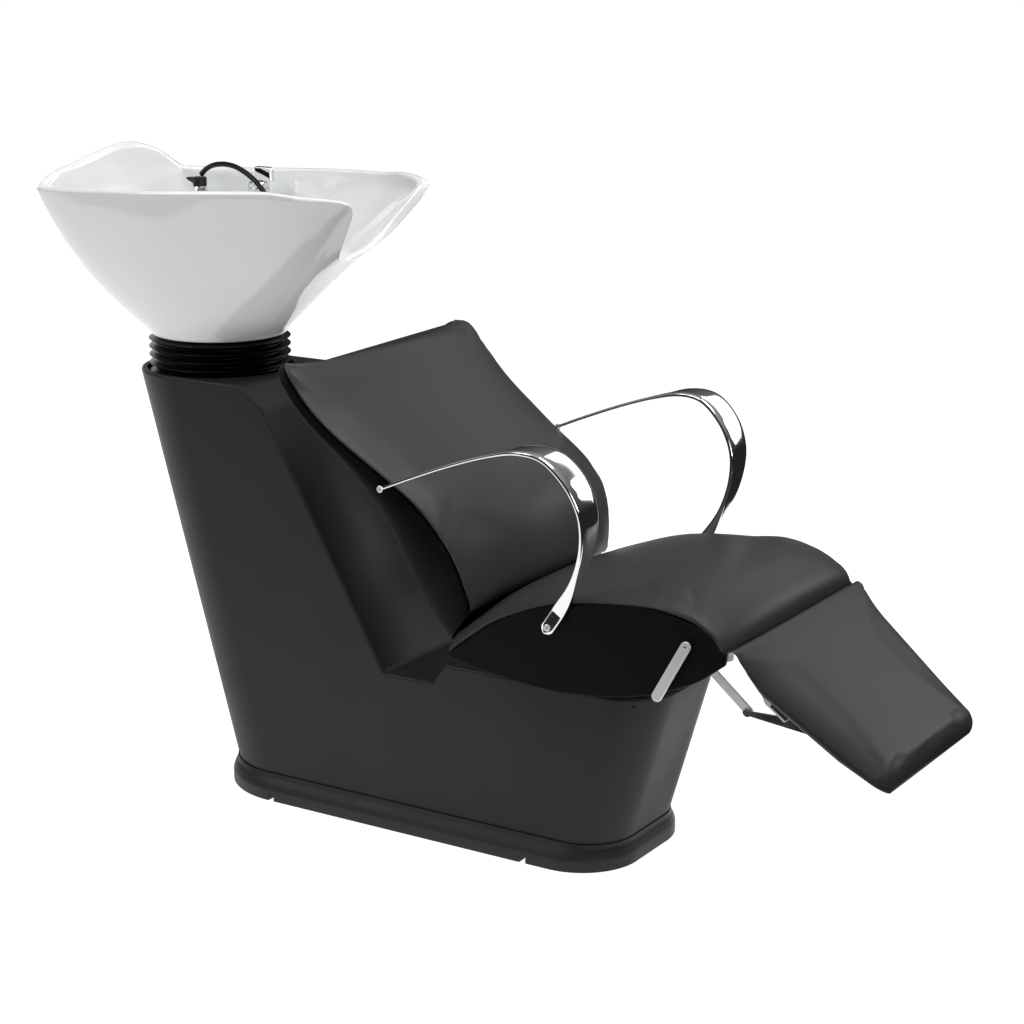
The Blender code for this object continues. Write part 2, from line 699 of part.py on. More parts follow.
def outer_wall(inward=0.0):
    """Rings up the bowl's outer wall from its foot to its rim; inward sinks them into the wall."""
    rim, heading, reach = rim_spokes()
    fullness = BOWL_FULLNESS - BOWL_FRONT_FLATTEN * np.clip(heading[:, 0], 0.0, 1.0) ** 2
    top = rim[:, 2] - RIM_THICK * 0.4
    foot = FOOT_Z + FOOT_INSET * 0.4
    rings = []
    for share in (0.0, 0.12, 0.26, 0.42, 0.60, 0.80, 1.0):
        radius = FOOT_R + (reach - FOOT_R) * (1.0 - (1.0 - share) ** fullness) - inward
        rings.append(np.column_stack([np.array([BOWL_X, 0.0]) + heading * radius[:, None],
                                      foot + (top - foot) * share]))
    return rings


def bowl_rings():
    """Outer wall up from the foot, over the rim, down the inner wall and through the drain."""
    rim, heading, reach = rim_spokes()
    axis = np.array([BOWL_X, 0.0])
    rings = [np.column_stack([axis + heading * (FOOT_R - FOOT_INSET), np.full(len(rim), FOOT_Z)])]
    rings += outer_wall()
    rings.append(np.column_stack([axis + heading * (reach - RIM_THICK * 0.35)[:, None], rim[:, 2]]))
    inner = reach - RIM_THICK
    rings.append(np.column_stack([axis + heading * inner[:, None], rim[:, 2] - RIM_THICK * 0.3]))
    lip = rim[:, 2] - RIM_THICK * 0.3
    flat = WASTE_FLANGE_R + SWING
    for share in (0.2, 0.42, 0.64, 0.82, 0.94, 1.0):
        radius = flat + (inner - flat) * (1.0 - share ** BOWL_FLOOR_CURVE) ** (1.0 / BOWL_WALL_CURVE)
        rings.append(np.column_stack([axis + heading * radius[:, None], lip + (BOWL_FLOOR_Z - lip) * share]))
    for height in (BOWL_FLOOR_Z, FOOT_Z):
        rings.append(np.column_stack([axis + heading * DRAIN_R, np.full(len(rim), height)]))
    return rings


def make_bowl():
    """The ceramic bowl with its neck notch and the tap deck inside its left wall."""
    bowl = loft("bowl", bowl_rings(), "white_ceramic", pivot=(BOWL_X, 0.0, TILT_Z), closed=True)
    past = RIM_SIDE_Y + RIM_THICK
    outline = [(TAP_DECK_Y, TAP_DECK_Z - TAP_DECK_THICK), (past, BOWL_FLOOR_Z), (past, TAP_DECK_Z),
               (TAP_DECK_Y, TAP_DECK_Z)]
    deck = slab("tap_deck_block", outline, *TAP_DECK_X, across="X")
    walls = outer_wall(RIM_THICK / 2.0)
    walls.append(walls[-1] + np.array([0.0, 0.0, CUT_REACH]))
    fuse(bowl, combine(deck, loft("tap_deck_limit", walls), "INTERSECT"))


def make_waste():
    """Drain flange with its tube, the lift-out strainer, the tail and the pipe to the floor."""
    top = BOWL_FLOOR_Z + GAP + WASTE_FLANGE_THICK
    seat = BOWL_FLOOR_Z + GAP
    bore = WASTE_TUBE_R - WASTE_TUBE_WALL
    flange = [(WASTE_FLANGE_R - EDGE_CHAMFER, top), (WASTE_FLANGE_R, seat), (WASTE_TUBE_R, seat),
              (WASTE_TUBE_R, seat - WASTE_TUBE_LENGTH), (bore, seat - WASTE_TUBE_LENGTH), (bore, top)]
    turned("waste_flange", flange, (BOWL_X, 0.0, 0.0), "chrome")
    tail_r = bore - RUNNING
    tail_top = seat - WASTE_TUBE_LENGTH + WASTE_TAIL_OVERLAP
    tail_bore = tail_r - WASTE_TAIL_WALL
    tail = [(tail_r, tail_top), (tail_r, WASTE_TAIL_BOTTOM), (tail_bore, WASTE_TAIL_BOTTOM),
            (tail_bore, tail_top)]
    turned("waste_tail", tail, (BOWL_X, 0.0, 0.0), "pipe_plastic")
    base = top + GAP
    knob = base + STRAINER_THICK + STRAINER_KNOB_HEIGHT
    strainer = [(0.0, knob), (STRAINER_KNOB_R, knob), (STRAINER_KNOB_R * 0.6, base + STRAINER_THICK),
                (STRAINER_R - EDGE_CHAMFER, base + STRAINER_THICK), (STRAINER_R, base),
                (bore - RUNNING, base), (bore - RUNNING - EDGE_CHAMFER, base - STRAINER_PLUG),
                (0.0, base - STRAINER_PLUG)]
    turned("hair_strainer", strainer, (BOWL_X, 0.0, 0.0), "chrome")

    start = WASTE_TAIL_BOTTOM - WASTE_PIPE_DROP
    route = ((BOWL_X, 0.0, start), (BOWL_X, 0.0, start - 0.08), (BOWL_X + 0.03, 0.0, 0.46),
             (-0.36, 0.0, 0.36), (-0.30, 0.0, 0.33), (-0.25, 0.0, 0.37), (-0.215, 0.0, 0.35),
             (-0.205, 0.0, 0.25), (-0.205, 0.0, 0.10), (-0.205, 0.0, FLOOR_PLATE_THICK + GAP))
    tube("waste_pipe", smooth_path(route, 26), WASTE_PIPE_R, "pipe_plastic", 3)


def make_supply():
    """Shut-off valves on the floor plate and the braided hoses that feed the mixer."""
    low = FLOOR_PLATE_THICK + GAP
    top = low + VALVE_HEIGHT
    for name, sign in (("hot", -1.0), ("cold", 1.0)):
        y = sign * VALVE_Y
        rod(f"valve_{name}", (VALVE_X, y, low), (VALVE_X, y, top), VALVE_R, "chrome")
        route = ((VALVE_X, y, top + GAP), (VALVE_X, y, 0.16), (-0.20, y, 0.32), (-0.30, y, 0.47),
                 (-0.372, sign * 0.034, 0.58), (BOWL_X + 0.062, sign * 0.028, 0.640),
                 (BOWL_X + 0.062, sign * 0.028, 0.690))
        tube(f"supply_hose_{name}", smooth_path(route, 26), SUPPLY_R, "zinc_steel", 2)


# Mixer and hand spray

def make_mixer():
    """Single-lever mixer: body on the tap deck, cap that swivels, lever that lifts."""
    low = TAP_DECK_Z + GAP
    high = low + MIXER_HEIGHT
    flange = low + MIXER_FLANGE_THICK
    body = [(0.0, high), (MIXER_R, high), (MIXER_R, flange + RUNNING), (MIXER_FLANGE_R, flange),
            (MIXER_FLANGE_R, low), (0.0, low)]
    turned("mixer_body", body, (MIXER_X, MIXER_Y, 0.0), "chrome", steps=24)
    base = high + GAP
    top = base + MIXER_CAP_HEIGHT
    cap = [(0.0, top), (MIXER_R * 0.8, top), (MIXER_R, top - MIXER_CAP_CHAMFER), (MIXER_R, base), (0.0, base)]
    turned("mixer_cap", cap, (MIXER_X, MIXER_Y, 0.0), "chrome", steps=24)
    half = LEVER_WIDTH / 2.0
    pivot = (MIXER_X - half, MIXER_Y, top + GAP)
    outline = [(0.0, -half), (LEVER_LENGTH - half, -half * 0.8), (LEVER_LENGTH, -half * 0.3),
               (LEVER_LENGTH, half * 0.3), (LEVER_LENGTH - half, half * 0.8), (0.0, half)]
    outline = [(pivot[0] + x, pivot[1] + y) for x, y in outline]
    slab("mixer_lever", outline, pivot[2], pivot[2] + LEVER_THICK, "chrome", pivot=pivot, across="Z")


def hose_route():
    """The hose's arch, from the hand spray's collar over the mixer to its gland."""
    start = (SPRAY_X + 0.004, SPRAY_Y, spray_top() + GAP + HOSE_R * 0.9)
    end = (GLAND_X, GLAND_Y, TAP_DECK_Z + GAP + GLAND_HEIGHT + HOSE_SEAT)
    return (start, (-0.5835, 0.1470, 0.9950), (-0.5620, 0.1420, 1.0030), (-0.5350, 0.1370, 1.0062),
            (-0.5060, 0.1310, 1.0035), (-0.4780, 0.1255, 0.9940), (-0.4545, 0.1205, 0.9815),
            (-0.4365, 0.1163, 0.9675), (-0.4265, 0.1140, 0.9546), (-0.4216, 0.1129, 0.9426), end)


def spray_top():
    """Height of the hand spray's collar when it is parked."""
    return (TAP_DECK_Z + GAP + HOLDER_WALL + GAP + SPRAY_HEIGHT + GAP + SPRAY_COLLAR_HEIGHT)


def make_spray():
    """Parking cup, chrome spray head, its black collar with a thumb spur, gland and hose."""
    low = TAP_DECK_Z + GAP
    bore = SPRAY_R + RUNNING
    floor = low + HOLDER_WALL
    brim = low + HOLDER_HEIGHT
    cup = [(0.0, floor), (bore, floor), (bore, brim), (bore + HOLDER_WALL, brim), (bore + HOLDER_WALL, low),
           (0.0, low)]
    turned("spray_holder", cup, (SPRAY_X, SPRAY_Y, 0.0), "chrome", steps=24)
    base = floor + GAP
    high = base + SPRAY_HEIGHT
    head = [(0.0, high), (SPRAY_COLLAR_R, high), (SPRAY_R, high - SPRAY_SHOULDER),
            (SPRAY_R, base + EDGE_CHAMFER), (SPRAY_R - EDGE_CHAMFER, base), (0.0, base)]
    turned("spray_head", head, (SPRAY_X, SPRAY_Y, 0.0), "chrome", steps=24)
    base = high + GAP
    high = base + SPRAY_COLLAR_HEIGHT
    collar = [(0.0, high), (SPRAY_COLLAR_R * 0.7, high), (SPRAY_COLLAR_R, base + SPRAY_COLLAR_HEIGHT * 0.7),
              (SPRAY_COLLAR_R, base), (0.0, base)]
    collar = turned("spray_collar", collar, (SPRAY_X, SPRAY_Y, 0.0), "black_plastic", steps=24)
    middle = (base + high) / 2.0
    root = SPRAY_X - SPRAY_COLLAR_R * 0.5
    tip = SPRAY_X - SPRAY_COLLAR_R - SPRAY_SPUR
    spur = [(root, base + SPRAY_SPUR_TIP), (root, high - SPRAY_SPUR_TIP), (tip, middle),
            (tip, middle - SPRAY_SPUR_TIP)]
    side = SPRAY_SPUR_WIDTH / 2.0
    fuse(collar, slab("collar_spur", spur, SPRAY_Y - side, SPRAY_Y + side))

    high = low + GLAND_HEIGHT
    gland = [(0.0, high), (HOSE_R * 1.3, high), (GLAND_R, low + GLAND_HEIGHT * 0.4), (GLAND_R, low),
             (0.0, low)]
    turned("hose_gland", gland, (GLAND_X, GLAND_Y, 0.0), "black_plastic", steps=20)
    tube("spray_hose", smooth_path(hose_route(), 22), HOSE_R, "black_rubber", 3)


# Soft pieces

def pad_ring(base, normal, half, thick, crown, draw, slide=(0.0, 0.0)):
    """One cross-section of a pad: flat below, sides drawn in, top crowned across Y."""
    base = np.array(base)
    normal = np.array(normal)
    slide = np.array(slide)
    across = np.array([-1.0, -0.72, -0.42, -0.14, 0.14, 0.42, 0.72, 1.0])
    side = np.array([0.25, 0.55, 0.82])
    y = np.concatenate([across * (half - draw), (half - draw * np.array([0.35, 0.0, 0.6])),
                        across[::-1] * (half - draw * 2.2), -(half - draw * np.array([0.6, 0.0, 0.35]))])
    top = thick + crown * (1.0 - across[::-1] ** 2)
    up = np.concatenate([np.zeros(len(across)), side * thick, top, side[::-1] * thick])
    share = 1.0 - (y / half) ** 2
    points = base[None, :] + up[:, None] * normal[None, :] + share[:, None] * slide[None, :]
    return [(x, side_y, z) for (x, z), side_y in zip(points, y)]


def path_normals(path):
    """Unit normals of an (x, z) path, to the left of its direction."""
    along = np.gradient(path, axis=0)
    along /= np.linalg.norm(along, axis=1)[:, None]
    return np.column_stack([-along[:, 1], along[:, 0]])


def end_taper(count, low=0.55):
    """Thickness shares along a pad whose ends are rounded off."""
    share = np.linspace(0.0, 1.0, count)
    return low + (1.0 - low) * np.clip(np.minimum(share, 1.0 - share) / 0.12, 0.0, 1.0) ** 0.5


def seat_curves():
    """The seat's top and underside, seen from the side."""
    return smooth_path(SEAT_TOP_PATH, 25), smooth_path(SEAT_UNDER_PATH, 25)


def trim_path(path, low, high):
    """The stretch of an X-running curve between two x values, on the curve's own points."""
    between = path[(path[:, 0] > low + GAP) & (path[:, 0] < high - GAP)]
    return np.vstack([[(low, height_on(path, low))], between, [(high, height_on(path, high))]])


def make_seat():
    """Black side panels, the curved board, the pad over it, and the rails that carry it."""
    top, under = seat_curves()
    outline = np.vstack([top, under])
    inner = SEAT_HALF_WIDTH - SEAT_SIDE_THICK
    for side, sign in (("right", -1.0), ("left", 1.0)):
        ys = sorted((sign * inner, sign * SEAT_HALF_WIDTH))
        panel = slab(f"seat_side_{side}", outline, *ys, "black_vinyl")
        cut(panel, screw_hole(f"seat_side_hole_{side}", ARM_PATH[-1], sign * SEAT_HALF_WIDTH))
        if sign < 0.0:
            cut(panel, rod("release_hole", (RELEASE_X, -SEAT_HALF_WIDTH - CUT_PAST, RELEASE_Z),
                           (RELEASE_X, -inner + CUT_PAST, RELEASE_Z), RELEASE_SHAFT_R + RUNNING))

    strip = trim_path(top, SEAT_PAD_REAR_X, SEAT_PAD_FRONT_X)
    normals = path_normals(strip)
    upper = strip - normals * GAP
    lower = strip - normals * (GAP + SEAT_BOARD_THICK)
    reach = inner - GAP
    slab("seat_board", np.vstack([lower, upper[::-1]]), -reach, reach, "plywood")

    rings = []
    for base, normal, share in zip(strip + normals * GAP, normals, end_taper(len(strip))):
        rings.append(pad_ring(base, normal, SEAT_HALF_WIDTH, SEAT_PAD_THICK * share, SEAT_PAD_CROWN * share,
                              SEAT_PAD_SIDE_DRAW))
    loft("seat_cushion", rings, "grey_vinyl")

    rear, front = SEAT_RAIL_X
    bottom = [(x, z - 2.0 * GAP) for x, z in trim_path(lower, rear, front)[::-1]]
    low = DECK_Z + GAP
    for side, sign in (("right", -1.0), ("left", 1.0)):
        ys = sorted((sign * SEAT_RAIL_Y, sign * (SEAT_RAIL_Y + SEAT_RAIL_THICK)))
        slab(f"seat_rail_{side}", [(rear, low), (front, low)] + bottom, *ys, "painted_steel")


def back_curves():
    """The back's front, its seam behind the pad, and its rear, seen from the side."""
    front = smooth_path(BACK_FRONT_PATH, 17)
    rear = smooth_path(BACK_REAR_PATH, 17)
    seam = front + path_normals(front) * BACK_PAD_THICK
    return front, seam, rear


def back_half_width(count):
    """Half-width at each level: the back widens from its foot to its top corners."""
    share = np.linspace(0.0, 1.0, count)
    return BACK_FOOT_HALF_WIDTH + (BACK_TOP_HALF_WIDTH - BACK_FOOT_HALF_WIDTH) * share ** 0.8


def make_back():
    """The black body of the back, its front pad and the uprights that hold it to the deck."""
    front, seam, rear = back_curves()
    halves = back_half_width(len(front))
    along = np.gradient(front, axis=0)
    along /= np.linalg.norm(along, axis=1)[:, None]
    share = np.linspace(0.0, 1.0, len(front))
    dips = -along * (BACK_TOP_DIP * share ** 4)[:, None]
    body = []
    pad = []
    levels = end_taper(len(front))
    for seam_at, front_at, rear_at, half, dip, level in zip(seam, front, rear, halves, dips, levels):
        towards = front_at - seam_at
        depth = np.linalg.norm(towards)
        towards /= depth
        thick = np.linalg.norm(rear_at - seam_at)
        backward = (rear_at - seam_at) / thick
        body.append(pad_ring(seam_at + backward * GAP, backward, half - BACK_BODY_INSET, thick, 0.0,
                             BACK_BODY_SIDE_DRAW, dip))
        pad.append(pad_ring(seam_at, towards, half, depth * level, BACK_PAD_CROWN * level,
                            BACK_PAD_SIDE_DRAW, dip))
    body = loft("back_body", body, "black_vinyl")
    loft("back_cushion", pad, "grey_vinyl")
    for side, sign in (("right", -1.0), ("left", 1.0)):
        cut(body, screw_hole(f"back_side_hole_{side}", ARM_PATH[0], sign * ARM_TOP_Y))

    low = DECK_Z + GAP
    heel = rear[0]
    edge = seam[0] - heel
    edge /= np.linalg.norm(edge)
    down = np.array([edge[1], -edge[0]])
    reach = np.linalg.norm(seam[0] - heel)
    head = [heel + down * SWING + edge * reach * share for share in (0.9, 0.1)]
    outline = [(heel[0] - SWING, low), (heel[0] - SWING + BACK_UPRIGHT_FOOT, low)] + head
    for side, sign in (("right", -1.0), ("left", 1.0)):
        ys = sorted((sign * BACK_UPRIGHT_Y, sign * (BACK_UPRIGHT_Y + BACK_UPRIGHT_THICK)))
        slab(f"back_upright_{side}", outline, *ys, "painted_steel")


# Armrests

def screw_hole(name, at, y):
    """A hole for an arm screw, through whatever stands at the armrest's end."""
    x, z = at
    return rod(name, (x, y * 0.80, z), (x, y * 1.20, z), SCREW_R + RUNNING)


def arm_tab_y():
    """Middle of the armrest's lower tab, which lies on the seat's side panel."""
    return SEAT_HALF_WIDTH + GAP + ARM_TAB_THICK / 2.0


def make_armrests():
    """Two bent chrome ribbons, wide at the front bend, each held by two screws."""
    path = smooth_path(ARM_PATH, 37)
    normals = path_normals(path)
    share = np.linspace(0.0, 1.0, len(path))
    swell = np.exp(-((share - ARM_WIDE_AT) / ARM_WIDE_SPREAD) ** 2)
    wide = ARM_END_R + (ARM_WIDE - ARM_END_R) * swell
    tab = np.clip((share - ARM_TAB_FROM) / ARM_TAB_RUN, 0.0, 1.0)
    tab = tab * tab * (3.0 - 2.0 * tab)
    wide = wide * (1.0 - tab) + ARM_TAB_THICK / 2.0 * tab
    thick = ARM_THICK / 2.0 * (1.0 - tab) + ARM_TAB_WIDTH / 2.0 * tab
    lean = np.clip((share - ARM_LEAN_FROM) / ARM_LEAN_RUN, 0.0, 1.0)
    middle = ARM_TOP_Y + (arm_tab_y() - ARM_TOP_Y) * lean
    angles = np.radians(np.arange(0.0, 360.0, 30.0) + 15.0)
    flat = np.sign(np.cos(angles)) * np.abs(np.cos(angles)) ** ARM_SQUARENESS
    proud = np.sign(np.sin(angles)) * np.abs(np.sin(angles)) ** ARM_SQUARENESS
    limit = np.abs(flat).max()
    for side, sign in (("right", -1.0), ("left", 1.0)):
        rings = []
        for point, normal, half, deep, y in zip(path, normals, wide, thick, middle):
            ring = point + np.outer(proud / limit * deep, normal)
            rings.append([(x, sign * (y + offset), z) for (x, z), offset in zip(ring, flat / limit * half)])
        arm = loft(f"armrest_{side}", rings, "chrome")
        ends = (("lower", tuple(path[-1]), sign * (arm_tab_y() + ARM_TAB_THICK / 2.0)),
                ("upper", tuple(path[0]), sign * (ARM_TOP_Y + ARM_END_R)))
        for end, (x, z), y in ends:
            cut(arm, screw_hole(f"arm_hole_{end}_{side}", (x, z), y))
            make_screw(f"arm_screw_{end}_{side}", (x, z), y, sign)


def make_screw(name, at, y, sign):
    """A round-head screw seated on the armrest's outer face."""
    x, z = at
    face = y + sign * GAP
    screw = rod(name, (x, face, z), (x, face + sign * SCREW_HEAD, z), SCREW_HEAD_R, "chrome")
    grip = ARM_TAB_THICK + SCREW_GRIP
    inside = face + sign * SCREW_HEAD / 2.0
    fuse(screw, rod(f"{name}_shank", (x, inside, z), (x, face - sign * grip, z), SCREW_R))


# Legrest

def seat_board_under():
    """The line just under the seat board, in (x, z)."""
    top, _ = seat_curves()
    board = trim_path(top, SEAT_PAD_REAR_X, SEAT_PAD_FRONT_X)
    return board - path_normals(board) * (SEAT_BOARD_THICK + 2.0 * GAP)


def seat_leaf_under():
    """The underside of the hinge leaf that is screwed below the seat board."""
    under = seat_board_under()
    lower = under - path_normals(under) * HINGE_LEAF_THICK
    return lower[under[:, 0] > HINGE_X - HINGE_LEAF_LENGTH]


def legrest_point(along, above):
    """A point of the legrest in (x, z): along it from the hinge, and above its hinge line."""
    cosine = math.cos(LEGREST_ANGLE)
    sine = math.sin(LEGREST_ANGLE)
    return (HINGE_X + along * cosine + above * sine, HINGE_Z - along * sine + above * cosine)


def legrest_under(along):
    """Depth of the pad's underside below the hinge line: a ramp by the hinge, then level."""
    level = LEGREST_PAD_THICK - LEGREST_PAD_TOP
    share = min(1.0, (along - LEGREST_START) / (LEGREST_RAMP - LEGREST_START))
    return HINGE_LEAF_THICK + (level - HINGE_LEAF_THICK) * share


def legrest_half(along):
    """Half-width of the legrest, with its outer corners rounded."""
    share = along / LEGREST_LENGTH
    half = LEGREST_HALF_WIDTH + (LEGREST_END_HALF_WIDTH - LEGREST_HALF_WIDTH) * share
    corner = LEGREST_CORNER
    past = max(0.0, along - (LEGREST_LENGTH - corner)) / corner
    return half - corner * (1.0 - math.sqrt(max(0.0, 1.0 - past * past)))


def make_legrest():
    """Pad, board and hinge: two leaves with interleaved knuckles on one pin."""
    pivot = (HINGE_X, 0.0, HINGE_Z)
    normal = (math.sin(LEGREST_ANGLE), math.cos(LEGREST_ANGLE))
    corner_from = LEGREST_LENGTH - LEGREST_CORNER
    stations = list(np.linspace(LEGREST_START, corner_from, 13))
    stations += [corner_from + LEGREST_CORNER * math.sin(math.radians(a)) for a in (25, 50, 75)]
    rings = []
    for along in stations:
        depth = legrest_under(along) + LEGREST_PAD_TOP
        share = 1.0 - LEGREST_END_THIN * max(0.0, along - corner_from) / LEGREST_CORNER
        rings.append(pad_ring(legrest_point(along, -legrest_under(along)), normal, legrest_half(along),
                              depth * share, LEGREST_PAD_CROWN * share, LEGREST_PAD_SIDE_DRAW))
    loft("legrest_cushion", rings, "grey_vinyl", pivot=pivot)

    rings = []
    for along in np.linspace(LEGREST_RAMP, corner_from, 5):
        half = legrest_half(along) - LEGREST_BOARD_INSET
        high = -legrest_under(along) - GAP
        low = high - LEGREST_BOARD_THICK
        ring = []
        for above, y in ((high, -half), (high, half), (low, half), (low, -half)):
            x, z = legrest_point(along, above)
            ring.append((x, y, z))
        rings.append(ring)
    loft("legrest_board", rings, "plywood", pivot=pivot)

    reach = HINGE_HALF_LENGTH
    rod("hinge_pin", (HINGE_X, -reach, HINGE_Z), (HINGE_X, reach, HINGE_Z), HINGE_PIN_R, "zinc_steel",
        pivot=pivot)
    spacing = 2.0 * reach / HINGE_KNUCKLES
    under = seat_board_under()
    root = under[under[:, 0] > HINGE_X - HINGE_LEAF_LENGTH]
    lower = seat_leaf_under()
    nose = [(HINGE_X - HINGE_LEAF_NOSE, HINGE_Z - HINGE_LEAF_THICK), (HINGE_X - HINGE_LEAF_NOSE, HINGE_Z)]
    seat_leaf = slab("hinge_leaf_seat", np.vstack([lower, nose, root[::-1]]), -reach, reach, "zinc_steel")
    ramp_end = LEGREST_RAMP - GAP
    sole = legrest_under(LEGREST_RAMP) + LEGREST_BOARD_THICK + 2.0 * GAP
    nose_under = legrest_under(HINGE_LEAF_NOSE) + GAP
    toe = LEGREST_RAMP + HINGE_LEAF_FOOT
    leaf = [(HINGE_LEAF_NOSE, nose_under), (ramp_end, legrest_under(ramp_end) + GAP), (ramp_end, sole),
            (toe, sole), (toe, sole + HINGE_LEAF_THICK),
            (LEGREST_RAMP - HINGE_LEAF_HEEL, sole + HINGE_LEAF_THICK),
            (HINGE_LEAF_NOSE, nose_under + HINGE_LEAF_THICK)]
    leaf = [legrest_point(along, -below) for along, below in leaf]
    leg_leaf = slab("hinge_leaf_legrest", leaf, -reach, reach, "zinc_steel", pivot=pivot)
    for number in range(HINGE_KNUCKLES):
        start = -reach + number * spacing
        span = ((HINGE_X, start + SWING / 2.0, HINGE_Z), (HINGE_X, start + spacing - SWING / 2.0, HINGE_Z))
        own, other = (seat_leaf, leg_leaf) if number % 2 == 0 else (leg_leaf, seat_leaf)
        fuse(own, rod(f"knuckle_{number}", *span, HINGE_KNUCKLE_R))
        wide = ((HINGE_X, start, HINGE_Z), (HINGE_X, start + spacing, HINGE_Z))
        cut(other, rod(f"knuckle_room_{number}", *wide, HINGE_KNUCKLE_R + SWING / 2.0))
    for leaf in (seat_leaf, leg_leaf):
        cut(leaf, rod(f"{leaf.name}_bore", (HINGE_X, -reach - CUT_PAST, HINGE_Z),
                      (HINGE_X, reach + CUT_PAST, HINGE_Z), HINGE_PIN_R + RUNNING))


def link_ends(angle):
    """A link's pivot and rear pin in (x, z) when the legrest has turned by an angle."""
    hinge = (HINGE_X, HINGE_Z)
    pivot = turn_about(legrest_point(LINK_PIVOT_ALONG, -LINK_PIVOT_BELOW), hinge, angle)
    rear = (pivot[0] - LINK_LENGTH * math.cos(LINK_RISE), pivot[1] + LINK_LENGTH * math.sin(LINK_RISE))
    return pivot, rear


def guide_path():
    """The line that a link's rear pin follows as the legrest swings through its range."""
    angles = np.linspace(-LEGREST_UP - GUIDE_OVERTRAVEL, LEGREST_DOWN + GUIDE_OVERTRAVEL, 17)
    return np.array([link_ends(angle)[1] for angle in angles])


def band(path, half):
    """Outline of a strip of even width along a path, with round ends."""
    normals = path_normals(path)
    upper = path + normals * half
    lower = path - normals * half

    def cap(middle, way):
        heading = math.degrees(math.atan2(way[1], way[0]))
        return arc(middle, half, heading, heading - 180.0, 7)[1:-1]

    return np.vstack([upper, cap(path[-1], normals[-1]), lower[::-1], cap(path[0], -normals[0])])


def make_links():
    """Legrest brackets, link bars with their guide pins, and the slotted guides under the seat."""
    pivot, rear = link_ends(0.0)
    path = guide_path()
    slot = band(path, LINK_PIN_R + RUNNING)
    skirt = LINK_PIN_R + RUNNING + GUIDE_MARGIN
    floor = path + path_normals(path) * skirt
    roof = trim_path(seat_leaf_under(), path[:, 0].min() - skirt / 2.0, path[:, 0].max() + skirt / 2.0)
    guide = np.vstack([floor, roof - np.array([0.0, 2.0 * GAP])])
    foot_level = -legrest_under(LEGREST_LENGTH) - LEGREST_BOARD_THICK - 2.0 * GAP
    foot_start = LEGREST_RAMP + HINGE_LEAF_FOOT + 4.0 * SWING
    for side, sign in (("right", -1.0), ("left", 1.0)):
        link_y = sorted((sign * (LINK_Y - LINK_THICK / 2.0), sign * (LINK_Y + LINK_THICK / 2.0)))
        guide_out = LINK_Y - LINK_THICK / 2.0 - RUNNING
        guide_y = sorted((sign * guide_out, sign * (guide_out - GUIDE_THICK)))
        ear_in = LINK_Y + LINK_THICK / 2.0 + RUNNING
        ear_y = sorted((sign * ear_in, sign * (ear_in + LINK_THICK)))

        link = slab(f"legrest_link_{side}", rounded_bar(pivot, rear, LINK_WIDTH), *link_y, "chrome",
                    pivot=(pivot[0], 0.0, pivot[1]))
        pin_out = sign * (guide_out - GUIDE_THICK - SWING)
        fuse(link, rod(f"guide_pin_{side}", (rear[0], sign * LINK_Y, rear[1]), (rear[0], pin_out, rear[1]),
                       LINK_PIN_R))
        cut(link, rod(f"link_hole_{side}", (pivot[0], sign * (LINK_Y - CUT_PAST), pivot[1]),
                      (pivot[0], sign * (LINK_Y + CUT_PAST), pivot[1]), LINK_PIN_R + RUNNING))

        ear = [legrest_point(foot_start + LINK_BRACKET_WIDTH, foot_level),
               legrest_point(foot_start, foot_level)]
        ear += rounded_end(pivot)
        bracket = slab(f"link_bracket_{side}", ear, *ear_y, "chrome", pivot=(HINGE_X, 0.0, HINGE_Z))
        stud_in = sign * (LINK_Y - LINK_THICK / 2.0)
        stud_out = sign * (ear_in + LINK_THICK / 2.0)
        fuse(bracket, rod(f"link_stud_{side}", (pivot[0], stud_in, pivot[1]), (pivot[0], stud_out, pivot[1]),
                          LINK_PIN_R))

        plate = slab(f"link_guide_{side}", guide, *guide_y, "zinc_steel")
        cut(plate, slab(f"guide_slot_{side}", slot, guide_y[0] - CUT_PAST, guide_y[1] + CUT_PAST))


def rounded_end(centre):
    """The round lower end of a link bracket."""
    lean = -math.degrees(LEGREST_ANGLE)
    return arc(centre, LINK_WIDTH / 2.0, lean + 200.0, lean + 350.0, 9)


# Release lever

def make_release():
    """The lever on the right side panel, on a shaft that ends in a cam inside the seat."""
    pivot = (RELEASE_X, 0.0, RELEASE_Z)
    tip = (RELEASE_X - RELEASE_LENGTH * math.sin(RELEASE_LEAN),
           RELEASE_Z - RELEASE_LENGTH * math.cos(RELEASE_LEAN))
    outer = -(SEAT_HALF_WIDTH + SWING)
    bar = rounded_bar((RELEASE_X, RELEASE_Z), tip, RELEASE_WIDTH)
    slab("release_lever", bar, outer - RELEASE_THICK, outer, "chrome", pivot=pivot)
    inner = -(SEAT_HALF_WIDTH - RELEASE_SHAFT_IN)
    shaft = rod("release_shaft", (RELEASE_X, outer + GAP, RELEASE_Z), (RELEASE_X, inner, RELEASE_Z),
                RELEASE_SHAFT_R, "zinc_steel", pivot=pivot)
    cam_z = RELEASE_Z - RELEASE_CAM_OFFSET
    fuse(shaft, rod("release_cam", (RELEASE_X, inner, cam_z), (RELEASE_X, inner + RELEASE_CAM_THICK, cam_z),
                    RELEASE_CAM_R))


make_base()
make_frame()
make_tilt()
make_bellows()
make_bowl()
make_waste()
make_supply()
make_mixer()
make_spray()
make_seat()
make_back()
make_armrests()
make_legrest()
make_links()
make_release()
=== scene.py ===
"""Looks of the shampoo backwash unit: an add-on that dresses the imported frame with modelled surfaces."""
import json
import math

import bmesh
import bpy
import numpy as np
from bpy.props import FloatProperty, FloatVectorProperty, IntProperty, PointerProperty
from mathutils import Matrix, Quaternion, Vector


